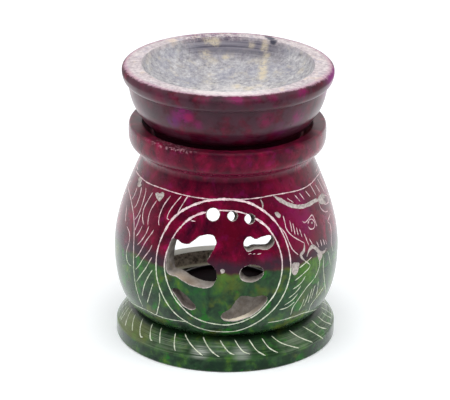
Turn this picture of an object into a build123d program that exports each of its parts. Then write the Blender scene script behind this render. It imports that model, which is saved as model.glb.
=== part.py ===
"""Essential oil burner turned from soapstone: a pierced pot, a lift-off oil dish and a tealight.

Millimetres, +Z up, +Y to the rear. The origin is the centre of the foot's underside.
"""
from build123d import *
import math
import os

os.makedirs("parts", exist_ok=True)

# Pot's outside, from the foot up: radii, and the step in height from each turned feature to the next
foot_side_height = 4.4
foot_edge_bevel = 0.4
foot_slope_rise = 6.5
foot_step = 6.6
groove_depth = 7.25
belly_radius = 39.65
belly_rise = 22.4
shoulder_rise = 33.5
ring_radius = 34.65
ring_swell = 2.75
cove_depth = 1.95
cove_rise = 3.5
ring_side_rise = 5.5
ring_shoulder_rise = 3.4
ring_shoulder_run = 0.85
ring_land = 3.8
ring_land_fall = 0.4

# Pot's inside
wall = 6.1
floor_thickness = 6.0
well_depth = 6.0
well_step = 3.85
ledge_width = 1.6
mouth_depth = 3.8
mouth_run = 3.4
seat_width = 4.6
roof_drop = 1.3

# Rear opening, an arch over a level sill
arch_room = 6.8
arch_head_wall = 5.8
sill_rise = 4.7

# Pierced front panel: the circle that its cut-outs are laid out in
panel_radius = 24.3
panel_rise = 4.5
panel_azimuth = -1.8
pocket_depth = 4.4
cut_reach = 12.0
star_hole_radii = (2.4, 1.8, 1.9)
oval_half_width = 4.3
oval_half_height = 3.2
overrun = 2.0

# Oil dish, from its spigot up
seat_clearance = 0.7
spigot_height = 3.4
dish_flare = 5.4
dish_flare_rise = 5.0
dish_wall_run = 3.65
dish_wall_rise = 10.8
lip_overhang = 2.0
lip_rise = 3.9
lip_shoulder_run = 3.25
lip_shoulder_rise = 1.9
rim_land = 3.6
bowl_depth = 10.8
dish_foot_ring = 6.9
heat_recess_depth = 5.5

# Tealight
tealight_radius = 18.75
tealight_height = 11.0
cup_wall = 0.4
wax_fill = 9.4
sustainer_radius = 6.0
sustainer_thickness = 0.3
crimp_radius = 1.3
crimp_height = 3.0
wick_radius = 0.65
wick_rise = 4.2

# Middle control points of the turned curves, as shares of the step from one end to the other
curve_halvings = 30
foot_shoulder_shares = ((0, 0.18), (0.64, 0.91))
lower_belly_shares = ((0.77, 0.17), (1, 0.585))
upper_belly_shares = ((0, 0.37), (0.665, 0.78))
cove_shares = ((-0.15, 0.34), (0.18, 0.91))
ring_side_shares = ((0.89, 0.13), (1, 0.56))
ring_shoulder_shares = ((0, 0.56), (0.18, 1))
chamber_foot_shares = ((0.78, 0.26), (1, 0.60))
chamber_roof_shares = ((0, 0.37), (0.52, 0.80))
dish_underside_shares = ((0.46, 0.12), (0.81, 0.60))
dish_wall_shares = ((0.74, 0.30), (0.89, 0.78))
lip_underside_shares = ((0.70, 0.05), (1, 0.44))
lip_shoulder_shares = ((0, 0.84), (0.63, 1))
bowl_shares = ((0.05, 0.65), (0.40, 1))

# Directions of the cuts, in degrees: turned from the front, and down towards the inside
star_hole_turns = (0.0, 10.0, 13.0)
drill_tilt = 22.0
oval_turn = -5.0
leaf_turn = -25.0
bow_turn = 8.0
bow_tilt = 6.0

# Outlines of the cut-outs: across and up from the panel's centre, as shares of its radius
star_hole_shares = ((-0.17, 0.79), (0.15, 0.775), (0.43, 0.73))
oval_centre_share = (0.415, -0.025)
leaf_outline_shares = (
    (-0.79, 0.39), (-0.845, 0.20), (-0.85, 0.02), (-0.815, -0.11), (-0.68, -0.13), (-0.58, -0.18),
    (-0.44, -0.23), (-0.27, -0.25), (-0.15, -0.21), (-0.09, -0.10), (-0.09, -0.01), (-0.13, 0.07),
    (-0.21, 0.15), (-0.175, 0.24), (-0.13, 0.34), (-0.12, 0.43), (-0.17, 0.50), (-0.27, 0.52),
    (-0.38, 0.49), (-0.45, 0.43), (-0.54, 0.36), (-0.63, 0.365), (-0.72, 0.40),
)
bow_outline_shares = (
    (0.32, 0.40), (0.345, 0.47), (0.41, 0.50), (0.50, 0.457), (0.60, 0.48), (0.70, 0.49),
    (0.76, 0.455), (0.775, 0.39), (0.75, 0.335), (0.67, 0.29), (0.50, 0.31), (0.395, 0.285), (0.345, 0.32),
)
slit_outline_shares = (
    (-0.75, -0.355), (-0.67, -0.30), (-0.575, -0.35), (-0.47, -0.445), (-0.39, -0.56), (-0.405, -0.62),
    (-0.48, -0.635), (-0.585, -0.58), (-0.67, -0.465),
)
tongue_outline_shares = (
    (0.17, -0.48), (0.24, -0.365), (0.32, -0.345), (0.44, -0.375), (0.60, -0.38), (0.655, -0.43),
    (0.64, -0.51), (0.54, -0.625), (0.40, -0.73), (0.25, -0.79), (0.10, -0.81), (0.02, -0.77),
    (0.0, -0.69), (0.05, -0.625), (0.12, -0.56),
)


def bend(start, end, shares):
    """Control points of one curve: its ends, and middle points as shares of the step between them."""
    step_out = end[0] - start[0]
    step_up = end[1] - start[1]
    middle = [(start[0] + step_out * out, start[1] + step_up * up) for out, up in shares]
    return [start, *middle, end]


def centre_of(shares):
    """Middle of an outline's width and height, in shares."""
    across = [point[0] for point in shares]
    up = [point[1] for point in shares]
    return ((min(across) + max(across)) / 2, (min(up) + max(up)) / 2)


def radial_plane(centre_share, distance):
    """A plane square to the pot's radius through a point of the panel, at a distance from the axis."""
    azimuth = math.radians(panel_azimuth) + centre_share[0] * panel_radius / belly_radius
    outward = (math.sin(azimuth), -math.cos(azimuth), 0)
    sideways = (math.cos(azimuth), math.sin(azimuth), 0)
    level = panel_height + centre_share[1] * panel_radius
    origin = (outward[0] * distance, outward[1] * distance, level)
    return Plane(origin=origin, x_dir=sideways, z_dir=outward)


def skin_radius(height):
    """Radius of the pot's outside at a height between the belly and the neck."""
    start, first, second, end = bend(belly, neck, upper_belly_shares)
    low, high = 0, 1
    for _ in range(curve_halvings):
        share = (low + high) / 2
        rest = 1 - share
        weights = (rest ** 3, 3 * rest ** 2 * share, 3 * rest * share ** 2, share ** 3)
        points = (start, first, second, end)
        radius, level = (sum(w * point[i] for w, point in zip(weights, points)) for i in (0, 1))
        low, high = (share, high) if level < height else (low, share)
    return radius


def cut_direction(turn, tilt):
    """Outward direction of a cut, turned from the front and rising outward, both in degrees."""
    azimuth = math.radians(turn)
    rise = math.radians(tilt)
    level = math.cos(rise)
    return Vector(math.sin(azimuth) * level, -math.cos(azimuth) * level, math.sin(rise))


def drill_plane(centre_share, direction):
    """A plane square to a drilled hole, through the point of the pot's skin where its centre is."""
    skin = radial_plane(centre_share, skin_radius(panel_height + centre_share[1] * panel_radius))
    return Plane(origin=skin.origin, x_dir=skin.x_dir, z_dir=direction)


def outline_points(shares):
    """The outline in millimetres about its own centre."""
    centre = centre_of(shares)
    return [((u - centre[0]) * panel_radius, (v - centre[1]) * panel_radius) for u, v in shares]


# Pot: the foot, belly, neck and ring are one piece of stone
groove_radius = belly_radius - groove_depth
foot_radius = groove_radius + foot_step
groove_height = foot_side_height + foot_slope_rise
belly_height = groove_height + belly_rise
neck_height = belly_height + shoulder_rise
ring_foot_radius = ring_radius - ring_swell
neck_radius = ring_foot_radius - cove_depth
ring_foot_height = neck_height + cove_rise
ring_height = ring_foot_height + ring_side_rise
ring_top_height = ring_height + ring_shoulder_rise
ring_top_radius = ring_radius - ring_shoulder_run
mouth_radius = ring_top_radius - ring_land
mouth_height = ring_top_height - ring_land_fall
seat_radius = mouth_radius - mouth_run
seat_height = mouth_height - mouth_depth
throat_radius = seat_radius - seat_width
throat_base_height = neck_height - roof_drop
chamber_radius = belly_radius - wall
well_radius = chamber_radius - well_step
well_top_height = floor_thickness + well_depth
cut_length = belly_radius + overrun
pocket_floor_radius = belly_radius - pocket_depth
panel_height = belly_height + panel_rise

foot_side_top = (foot_radius, foot_side_height)
groove = (groove_radius, groove_height)
belly = (belly_radius, belly_height)
neck = (neck_radius, neck_height)
ring_foot = (ring_foot_radius, ring_foot_height)
ring_side = (ring_radius, ring_height)
ring_top = (ring_top_radius, ring_top_height)
mouth = (mouth_radius, mouth_height)
chamber_foot = (well_radius + ledge_width, well_top_height)
chamber_side = (chamber_radius, belly_height)
throat_base = (throat_radius, throat_base_height)

with BuildPart() as burner_body:
    with BuildSketch(Plane.XZ):
        with BuildLine():
            Polyline((0, 0), (foot_radius - foot_edge_bevel, 0), (foot_radius, foot_edge_bevel),
                     foot_side_top)
            Bezier(*bend(foot_side_top, groove, foot_shoulder_shares))
            Bezier(*bend(groove, belly, lower_belly_shares))
            Bezier(*bend(belly, neck, upper_belly_shares))
            Bezier(*bend(neck, ring_foot, cove_shares))
            Bezier(*bend(ring_foot, ring_side, ring_side_shares))
            Bezier(*bend(ring_side, ring_top, ring_shoulder_shares))
            Polyline(ring_top, mouth, (0, mouth_height), (0, 0))
        make_face()
    revolve(axis=Axis.Z)

    # Mouth, seat for the dish, throat, chamber and tealight well, bored from above
    with BuildSketch(Plane.XZ):
        with BuildLine():
            Polyline((0, floor_thickness), (well_radius, floor_thickness), (well_radius, well_top_height),
                     chamber_foot)
            Bezier(*bend(chamber_foot, chamber_side, chamber_foot_shares))
            Bezier(*bend(chamber_side, throat_base, chamber_roof_shares))
            Polyline(throat_base, (throat_radius, seat_height), (seat_radius, seat_height),
                     mouth, (0, mouth_height), (0, floor_thickness))
        make_face()
    revolve(axis=Axis.Z, mode=Mode.SUBTRACT)

    # Rear opening
    arch_radius = tealight_radius + arch_room
    arch_spring_height = neck_height - arch_head_wall - arch_radius
    sill_height = well_top_height + sill_rise
    with BuildSketch(Plane.XZ):
        with BuildLine():
            Polyline((-arch_radius, arch_spring_height), (-arch_radius, sill_height),
                     (arch_radius, sill_height), (arch_radius, arch_spring_height))
            RadiusArc((arch_radius, arch_spring_height), (-arch_radius, arch_spring_height), -arch_radius)
        make_face()
    extrude(amount=-cut_length, mode=Mode.SUBTRACT)

    # Three drilled holes along the panel's top, sloping down to the inside
    for hole_share, hole_radius, hole_turn in zip(star_hole_shares, star_hole_radii, star_hole_turns):
        with BuildSketch(drill_plane(hole_share, cut_direction(hole_turn, drill_tilt))):
            Circle(hole_radius)
        extrude(amount=cut_reach, both=True, mode=Mode.SUBTRACT)

    # Cut-outs that go through to the chamber: each outline lies on the skin, and its cut leans from there
    with BuildSketch(radial_plane(oval_centre_share, belly_radius)):
        Ellipse(oval_half_width, oval_half_height)
    extrude(amount=cut_reach, dir=cut_direction(oval_turn, 0), both=True, mode=Mode.SUBTRACT)
    for outline_shares, turn, tilt in ((leaf_outline_shares, leaf_turn, 0),
                                       (bow_outline_shares, bow_turn, bow_tilt)):
        centre = centre_of(outline_shares)
        with BuildSketch(radial_plane(centre, skin_radius(panel_height + centre[1] * panel_radius))):
            with BuildLine():
                Spline(*outline_points(outline_shares), periodic=True)
            make_face()
        extrude(amount=cut_reach, dir=cut_direction(turn, tilt), both=True, mode=Mode.SUBTRACT)

    # Blind pockets low on the panel
    for outline_shares in (slit_outline_shares, tongue_outline_shares):
        with BuildSketch(radial_plane(centre_of(outline_shares), pocket_floor_radius)):
            with BuildLine():
                Spline(*outline_points(outline_shares), periodic=True)
            make_face()
        extrude(amount=cut_length - pocket_floor_radius, mode=Mode.SUBTRACT)
burner_body.part.label = "burner_body"
export_step(burner_body.part, "parts/burner_body.step")

# Oil dish: its spigot stands on the seat inside the ring
spigot_radius = seat_radius - seat_clearance
spigot_top = (spigot_radius, seat_height + spigot_height)
dish_foot = (spigot_radius + dish_flare, spigot_top[1] + dish_flare_rise)
dish_wall = (dish_foot[0] + dish_wall_run, dish_foot[1] + dish_wall_rise)
lip = (dish_wall[0] + lip_overhang, dish_wall[1] + lip_rise)
rim_height = lip[1] + lip_shoulder_rise
rim_outer = (lip[0] - lip_shoulder_run, rim_height)
bowl_edge = (rim_outer[0] - rim_land, rim_height)
bowl_floor_height = rim_height - bowl_depth
heat_recess_radius = spigot_radius - dish_foot_ring
recess_roof_height = seat_height + heat_recess_depth

with BuildPart() as oil_dish:
    with BuildSketch(Plane.XZ):
        with BuildLine():
            Polyline((heat_recess_radius, seat_height), (spigot_radius, seat_height), spigot_top)
            Bezier(*bend(spigot_top, dish_foot, dish_underside_shares))
            Bezier(*bend(dish_foot, dish_wall, dish_wall_shares))
            Bezier(*bend(dish_wall, lip, lip_underside_shares))
            Bezier(*bend(lip, rim_outer, lip_shoulder_shares))
            Line(rim_outer, bowl_edge)
            Bezier(*bend(bowl_edge, (0, bowl_floor_height), bowl_shares))
            Polyline((0, bowl_floor_height), (0, recess_roof_height),
                     (heat_recess_radius, recess_roof_height), (heat_recess_radius, seat_height))
        make_face()
    revolve(axis=Axis.Z)
oil_dish.part.label = "oil_dish"
export_step(oil_dish.part, "parts/oil_dish.step")

# Tealight: a thin cup of cast wax round a wick, whose foot is crimped in a flat disc
cup_floor_height = floor_thickness + cup_wall
sustainer_top_height = cup_floor_height + sustainer_thickness
crimp_top_height = sustainer_top_height + crimp_height
wax_top_height = cup_floor_height + wax_fill
wick_top_height = wax_top_height + wick_rise
wax_radius = tealight_radius - cup_wall

with BuildPart() as tealight_cup:
    with BuildSketch(Plane.XY.offset(floor_thickness)):
        Circle(tealight_radius)
    extrude(amount=tealight_height)
    with BuildSketch(Plane.XY.offset(cup_floor_height)):
        Circle(wax_radius)
    extrude(amount=tealight_height, mode=Mode.SUBTRACT)
tealight_cup.part.label = "tealight_cup"
export_step(tealight_cup.part, "parts/tealight_cup.step")

with BuildPart() as wick_sustainer:
    with BuildSketch(Plane.XY.offset(cup_floor_height)):
        Circle(sustainer_radius)
    extrude(amount=sustainer_thickness)
    with BuildSketch(Plane.XY.offset(sustainer_top_height)):
        Circle(crimp_radius)
    extrude(amount=crimp_height)
    with BuildSketch(Plane.XY.offset(sustainer_top_height)):
        Circle(wick_radius)
    extrude(amount=crimp_height, mode=Mode.SUBTRACT)
wick_sustainer.part.label = "wick_sustainer"
export_step(wick_sustainer.part, "parts/wick_sustainer.step")

with BuildPart() as wick:
    with BuildSketch(Plane.XY.offset(sustainer_top_height)):
        Circle(wick_radius)
    extrude(amount=wick_top_height - sustainer_top_height)
wick.part.label = "wick"
export_step(wick.part, "parts/wick.step")

with BuildPart() as tealight_wax:
    with BuildSketch(Plane.XY.offset(cup_floor_height)):
        Circle(wax_radius)
    extrude(amount=wax_fill)
    with BuildSketch(Plane.XY.offset(cup_floor_height)):
        Circle(sustainer_radius)
    extrude(amount=sustainer_thickness, mode=Mode.SUBTRACT)
    with BuildSketch(Plane.XY.offset(sustainer_top_height)):
        Circle(crimp_radius)
    extrude(amount=crimp_height, mode=Mode.SUBTRACT)
    with BuildSketch(Plane.XY.offset(crimp_top_height)):
        Circle(wick_radius)
    extrude(amount=wax_fill, mode=Mode.SUBTRACT)
tealight_wax.part.label = "tealight_wax"
export_step(tealight_wax.part, "parts/tealight_wax.step")
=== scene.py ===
"""Essential oil burner turned from soapstone, dyed burgundy over green: the looks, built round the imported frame."""
import math
import random
import bmesh
import bpy
import numpy as np
from mathutils import Matrix, Vector


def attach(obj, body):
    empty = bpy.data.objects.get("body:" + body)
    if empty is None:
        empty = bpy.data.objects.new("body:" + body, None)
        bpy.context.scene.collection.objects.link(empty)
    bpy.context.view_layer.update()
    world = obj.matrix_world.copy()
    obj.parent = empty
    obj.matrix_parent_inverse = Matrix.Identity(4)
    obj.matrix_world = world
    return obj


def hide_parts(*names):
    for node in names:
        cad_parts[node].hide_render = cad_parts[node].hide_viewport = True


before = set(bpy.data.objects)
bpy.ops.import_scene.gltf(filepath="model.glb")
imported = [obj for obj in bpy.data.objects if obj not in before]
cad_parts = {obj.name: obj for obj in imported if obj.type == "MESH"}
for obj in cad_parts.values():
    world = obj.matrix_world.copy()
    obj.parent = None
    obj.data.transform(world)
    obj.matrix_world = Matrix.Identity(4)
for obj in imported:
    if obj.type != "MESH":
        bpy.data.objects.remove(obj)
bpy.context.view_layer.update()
MM = 0.001

# Pot's outside in millimetres, as in the solid model: radii, and the step in height between turned features
foot_side_height = 4.4
foot_edge_bevel = 0.4
foot_slope_rise = 6.5
foot_step = 6.6
groove_depth = 7.25
belly_radius = 39.65
belly_rise = 22.4
shoulder_rise = 33.5
ring_radius = 34.65
ring_swell = 2.75
cove_depth = 1.95
cove_rise = 3.5
ring_side_rise = 5.5
ring_shoulder_rise = 3.4
ring_shoulder_run = 0.85
ring_land = 3.8
ring_land_fall = 0.4

# Pot's inside
wall = 6.1
floor_thickness = 6
well_depth = 6
well_step = 3.85
ledge_width = 1.6
mouth_depth = 3.8
mouth_run = 3.4
seat_width = 4.6
roof_drop = 1.3

# Rear opening and pierced front panel
arch_room = 6.8
arch_head_wall = 5.8
sill_rise = 4.7
panel_radius = 24.3
panel_rise = 4.5
panel_azimuth = -1.8
pocket_depth = 2.8
pocket_tilt = -25
cut_reach = 12
star_hole_radii = (2.4, 1.8, 1.9)
oval_half_width = 4.3
oval_half_height = 3.2
overrun = 2
edge_depth = 0.3
edge_flare = 0.2
edge_lift = 0.1
edge_shrink = 0.6
full_flare = 1.3

# Oil dish, from its spigot up
seat_clearance = 0.7
spigot_height = 3.4
dish_flare = 5.4
dish_flare_rise = 5
dish_wall_run = 3.65
dish_wall_rise = 10.8
lip_overhang = 2
lip_rise = 3.9
lip_shoulder_run = 3.25
lip_shoulder_rise = 1.9
rim_land = 3.6
bowl_depth = 10.8
dish_foot_ring = 6.9
heat_recess_depth = 5.5
# Ripples left in the bowl by hand: depth, radians of phase in a millimetre, and start
bowl_ripples = ((0.045, 3.7, 0), (0.03, 8.3, 1))
ripple_rim_fade = 1.2
ripple_centre_fade = 4

# Tealight
tealight_radius = 18.75
tealight_height = 11
cup_wall = 0.4
cup_base_hollow = 0.25
cup_base_edge = 3.2
cup_base_land = 1.1
cup_base_rise = 0.9
rim_bead = 0.42
rim_drop = 1.3
bead_tuck = 0.35
cup_draft = 0.3
flutes = 40
flute_depth = 0.0035
wax_fill = 9.4
wax_gap = 0.45
wax_float = 0.35
meniscus = 0.25
meniscus_run = 2.5
wax_dip = 0.1
wax_mound = 0.5
wick_collar = 0.45
wax_mound_radius = 3
wick_radius = 0.65
wick_rise = 4.2
wick_root = 1
wick_strands = 3
wick_twist = 14
wick_valley = 0.14
wick_lean = 4
wick_lean_start = 0.65
wick_tip_start = 0.93
wick_tip_share = 0.07
wick_tip_taper = 0.25

# Middle control points of the turned curves, as shares of the step from one end to the other
foot_shoulder_shares = ((0, 0.18), (0.64, 0.91))
lower_belly_shares = ((0.77, 0.17), (1, 0.585))
upper_belly_shares = ((0, 0.37), (0.665, 0.78))
cove_shares = ((-0.15, 0.34), (0.18, 0.91))
ring_side_shares = ((0.89, 0.13), (1, 0.56))
ring_shoulder_shares = ((0, 0.56), (0.18, 1))
chamber_foot_shares = ((0.78, 0.26), (1, 0.6))
chamber_roof_shares = ((0, 0.37), (0.52, 0.8))
dish_underside_shares = ((0.46, 0.12), (0.81, 0.6))
dish_wall_shares = ((0.74, 0.3), (0.89, 0.78))
lip_underside_shares = ((0.7, 0.05), (1, 0.44))
lip_shoulder_shares = ((0, 0.84), (0.63, 1))
bowl_shares = ((0.05, 0.65), (0.4, 1))
cup_base_shares = ((0.3, 0), (0.6, 1))
cup_heel_shares = ((0.7, 0), (1, 0.4))
meniscus_shares = ((0.2, 0.8), (0.5, 1))
wax_mound_shares = ((0.5, 0), (0.9, 0.4))

# Directions of the cuts, in degrees: turned from the front, and down towards the inside
star_hole_turns = (0, 10, 13)
drill_tilt = 22
oval_turn = -5
oval_tilt = 6
leaf_turn = -25
leaf_tilt = 0
bow_turn = 8
bow_tilt = 6

# Outlines of the cut-outs: across and up from the panel's centre, as shares of its radius
star_hole_shares = ((-0.17, 0.79), (0.15, 0.775), (0.43, 0.73))
oval_centre_share = (0.415, -0.025)
leaf_outline_shares = (
    (-0.79, 0.39), (-0.845, 0.2), (-0.85, 0.02), (-0.815, -0.11), (-0.68, -0.13), (-0.58, -0.18),
    (-0.44, -0.23), (-0.27, -0.25), (-0.15, -0.21), (-0.09, -0.1), (-0.09, -0.01), (-0.13, 0.07),
    (-0.23, 0.145), (-0.195, 0.24), (-0.148, 0.34), (-0.138, 0.43), (-0.185, 0.505), (-0.27, 0.52),
    (-0.38, 0.49), (-0.45, 0.43), (-0.54, 0.36), (-0.63, 0.365), (-0.72, 0.4),
)
bow_outline_shares = (
    (0.32, 0.4), (0.345, 0.47), (0.41, 0.5), (0.5, 0.457), (0.6, 0.48), (0.7, 0.49),
    (0.76, 0.455), (0.775, 0.39), (0.75, 0.335), (0.67, 0.29), (0.5, 0.31), (0.395, 0.285), (0.345, 0.32),
)
slit_outline_shares = (
    (-0.75, -0.355), (-0.67, -0.3), (-0.575, -0.35), (-0.47, -0.445), (-0.39, -0.56), (-0.405, -0.62),
    (-0.48, -0.635), (-0.585, -0.58), (-0.67, -0.465),
)
tongue_outline_shares = (
    (0.17, -0.48), (0.24, -0.365), (0.32, -0.345), (0.44, -0.375), (0.6, -0.38), (0.655, -0.43),
    (0.64, -0.51), (0.54, -0.625), (0.4, -0.73), (0.25, -0.79), (0.1, -0.81), (0.02, -0.77),
    (0, -0.69), (0.05, -0.625), (0.12, -0.56),
)

# Camera, solved from the photograph's outline, and the photograph's frame
photo_width = 450
photo_height = 400
sensor_width = 36
focal_length = 217.64
camera_place = (-0.61, -896.2, 399.4)
camera_pitch = 21.35
camera_roll = 0.62

# Engraved lines, in millimetres
line_width = 0.35
foot_line_width = 0.38
line_depth = 0.24
line_lift = 0.12
line_tip_strength = 0.25
bold_width = 1.45
bold_depth = 0.36
circle_width = 0.5
arc_width = 0.78
cutter_room = 1.7
line_spacing = 0.7
patch_spacing = 0.5
ornament_spacing = 0.9

# Ornament of the sides, which the photograph doesn't show.
# A feather is degrees from the front, its lean, and whether it has a vein.
ornament_top = 62.3
ornament_foot = 18.4
feathers = ((92, 1, True), (116, -1, True), (138, 1, False))
vein_sway = 2.2
barb_pitch = 3.6
barb_drop = 6.5
barb_spread = 9
barb_root = 1.2
ornament_edge = 143
foot_stroke_pitch = 8
foot_stroke_swing = 5.5
foot_stroke_heights = (10, 8.4, 5.6)

# Dye, and the stage and its light in metres and watts. Colours are linear, in thousandths
dye_border_height = 37.4
white = (1000, 1000, 1000)
floor_half = 3
floor_colour = (840, 860, 880)
floor_glow = 0.23
# Painted light: the floor glows more behind the object, over its shadow there. Painted shadow: it glows less in a
# ring round the foot.
floor_painted_light_behind = 0.09
floor_painted_light_zone = (-0.03, 0.01)
floor_painted_shadow = -0.09
floor_painted_shadow_zone = (0.04, 0.062)
floor_sheen = 0.4
ambient = 0.55
dim_room = 0.05
bright_room = 1.45
room_zone = (-0.55, 0.2)
lamp_target = (0, 0, 0.05)
# Name, place, width, height, power, and whether reflections show it
lamps = (
    ("overhead_softbox", (0, -0.35, 0.85), 0.9, 0.7, 5.2, False),
    ("left_softbox", (-0.75, -0.25, 0.4), 0.6, 0.6, 1.6, False),
    ("right_softbox", (0.75, -0.25, 0.4), 0.6, 0.6, 1.6, False),
    ("upper_sheen", (0, -0.4, 0.74), 0.42, 0.2, 9, True),
)

# Ochre patches in the bowl: the pixel that shows each, its reach in millimetres and its strength
ochre_spots_px = (
    ((262, 77.5), 2.9, 0.75), ((263, 72.5), 2.7, 0.8), ((263, 67.5), 2.6, 0.8), ((264, 62.5), 2.4, 0.65),
    ((266.5, 55.5), 2.2, 0.5), ((264.5, 48), 2.4, 0.5), ((265.5, 42), 2.2, 0.5), ((208, 38), 3.4, 0.6),
    ((215, 41), 3, 0.65), ((205.5, 55), 3.2, 0.45), ((213.5, 61), 2.6, 0.35), ((226, 57.5), 2.2, 0.55),
    ((237, 86.5), 3, 0.6), ((249, 88.5), 3.2, 0.55), ((259, 86), 2.4, 0.4), ((301, 71), 2.2, 0.45),
    ((251.5, 45), 2, 0.4),
)
# Dark chip across the rim's inner edge at the back
chip_px = ((265.5, 34.8), (268.5, 36.8), (271, 38.8), (273.5, 41), (276, 43.5))
# Where one dye shows by itself: pixel, reach in millimetres, strength and colour in thousandths
red_spots = (
    ((231, 232), 10, 0.75, (82, 0.6, 8.5)), ((300, 209), 8, 0.6, (190, 2, 80)),
    ((292, 231), 9, 0.75, (175, 2.5, 36)), ((146, 222), 8, 0.6, (150, 2.5, 28)), ((144, 203), 8, 0.6, (165, 3, 33)),
    ((282, 204), 7, 0.6, (150, 2, 40)), ((172, 160), 7, 0.6, (190, 6, 42)), ((242, 164), 7, 0.5, (160, 3, 30)),
    ((304, 157), 6, 0.6, (200, 5, 40)), ((226, 231), 5, 0.85, (82, 0.6, 8.5)), ((298, 226), 11, 0.65, (180, 3, 45)),
    ((304, 250), 9, 0.7, (165, 3, 30)), ((288, 184), 9, 0.55, (160, 5, 32)), ((165, 180), 9, 0.45, (130, 8, 30)),
    ((307, 224), 6, 0.6, (180, 2, 70)), ((250, 212), 7, 0.5, (50, 1.5, 14)), ((228, 178), 9, 0.55, (40, 3, 13)),
    ((262, 182), 8, 0.5, (130, 1.5, 17)),
)
green_spots = (
    ((313, 266), 9, 0.75, (90, 200, 18)), ((302, 275), 7, 0.65, (62, 170, 18)),
    ((230, 283), 7, 0.45, (120, 165, 22)), ((222, 277), 3.5, 0.55, (90, 190, 25)),
    ((291, 300), 8, 0.6, (20, 75, 36)), ((306, 298), 6, 0.5, (120, 160, 30)), ((268, 287), 8, 0.5, (28, 58, 30)),
    ((150, 270), 8, 0.5, (40, 105, 30)), ((190, 290), 8, 0.5, (20, 85, 36)),
)
# The same on the outside of the dish
dish_spots = (
    ((182, 115.5), 6, 0.85, (190, 2, 105)), ((173.5, 120.5), 3.6, 0.75, (110, 4, 110)),
    ((189, 117), 2.6, 0.8, (240, 2, 60)), ((198.5, 124.5), 3, 0.75, (160, 1, 65)),
    ((266, 120), 4.2, 0.8, (170, 2, 45)), ((297, 116.5), 4.2, 0.8, (200, 2, 90)),
    ((280, 128), 4.5, 0.6, (110, 1, 65)), ((206, 98.5), 3.2, 0.75, (170, 1, 45)),
    ((237.5, 98.5), 4, 0.8, (240, 1, 90)), ((227, 96), 3, 0.7, (200, 1, 70)), ((255, 97), 3.4, 0.7, (190, 1, 70)),
    ((273, 96.5), 3, 0.7, (180, 1, 60)), ((303, 93), 3.6, 0.7, (190, 2, 80)), ((218, 101.5), 4, 0.8, (12, 1, 4)),
    ((160, 100), 4.5, 0.6, (130, 2, 30)), ((244, 111), 8, 0.6, (30, 14, 20)), ((215, 112), 8, 0.6, (34, 14, 22)),
    ((152, 111), 7, 0.65, (22, 10, 14)),
)
# Pale front of the bowl, with its reach, the painted light on the tongue's lower edge, and the rust on the cut stone
bowl_front_px = (((238, 90), 9), ((214, 90), 7), ((260, 88), 7))
tongue_edge_painted_light_px = (237.5, 320.5)
rust_px = (185, 280)

# Engraved strokes that the photograph shows, in its pixels. Each stroke runs from its first point to its last.
border_px = (
    ((136.1, 170.5), (139.7, 176.1), (147.9, 182.8), (162.1, 188.4), (179.5, 194), (200, 198), (225, 199.9),
     (245, 199.2), (260, 197.6), (272.2, 195.3), (285.5, 193), (300.8, 189.4), (310, 184.3), (317.1, 176.1),
     (320.2, 171)),
    ((130.5, 301.6), (144.8, 309.3), (156, 314.9), (168.3, 319), (187.9, 321.7)),
    ((267.7, 322.6), (280.4, 320.5), (295.7, 315.9), (308, 311.8), (320.2, 305.2)),
)
# The panel's two rings, and the heavier second stroke along their upper parts
ring_px = (
    ((224.6, 199.5), (209.3, 200.5), (197.8, 203.7), (188.3, 207.6), (178.7, 213.6), (170.6, 221.7), (165.3, 229.8),
     (160.3, 240.8), (157, 252.8), (156, 265.7), (157.2, 279.1), (161.3, 292), (167.2, 303.5), (175.6, 313.8),
     (186.4, 321.7), (197.8, 327.4), (210.3, 330.8), (224.6, 331.8), (237.1, 330.8), (250, 326.2), (262.9, 318.6),
     (274.4, 308.3), (282.5, 296.8), (287.8, 284.4), (290.7, 271), (290.3, 258.6), (287.8, 246.6), (283.5, 235.1),
     (277.1, 223.8), (268.7, 215.2), (260, 208.8), (250.5, 203.7), (238, 200.5)),
    ((224.6, 210.5), (216, 210.4), (207.4, 211.9), (196.9, 215.2), (189.2, 219.5), (181.6, 226), (175.1, 234),
     (169.6, 245.2), (165.6, 256.2), (164.4, 266.7), (166.1, 278.2), (170.6, 290.6), (176, 300.2), (183, 308.3),
     (191.1, 315.5), (203.6, 321.4), (216, 324.1), (226.6, 324.9), (237.1, 323.1), (246.7, 319.8), (257.2, 313.8),
     (266.3, 305), (273.4, 296.2), (278.2, 286.6), (281.4, 275.3), (282.3, 263.8), (280.9, 253.3), (277.3, 242.8),
     (272.5, 234.1), (266.3, 226.7), (260, 221.7), (254.3, 218.1), (246.7, 214.2), (239, 211.9), (232.3, 210.9)),
)
arc_px = (
    ((163.6, 233.2), (170.4, 221.6), (178.5, 213.4), (188.2, 207.3), (197.7, 203.4), (209.3, 200.2), (224.6, 199.2),
     (238.1, 200.1), (250.6, 203.4), (260.2, 208.5), (269, 215), (277.4, 223.6)),
    ((181.4, 225.8), (189, 219.2), (196.8, 214.9), (206, 211.8)),
    ((252, 216.4), (260.2, 221.4), (266.6, 226.4), (271, 231.6)),
)
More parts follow.
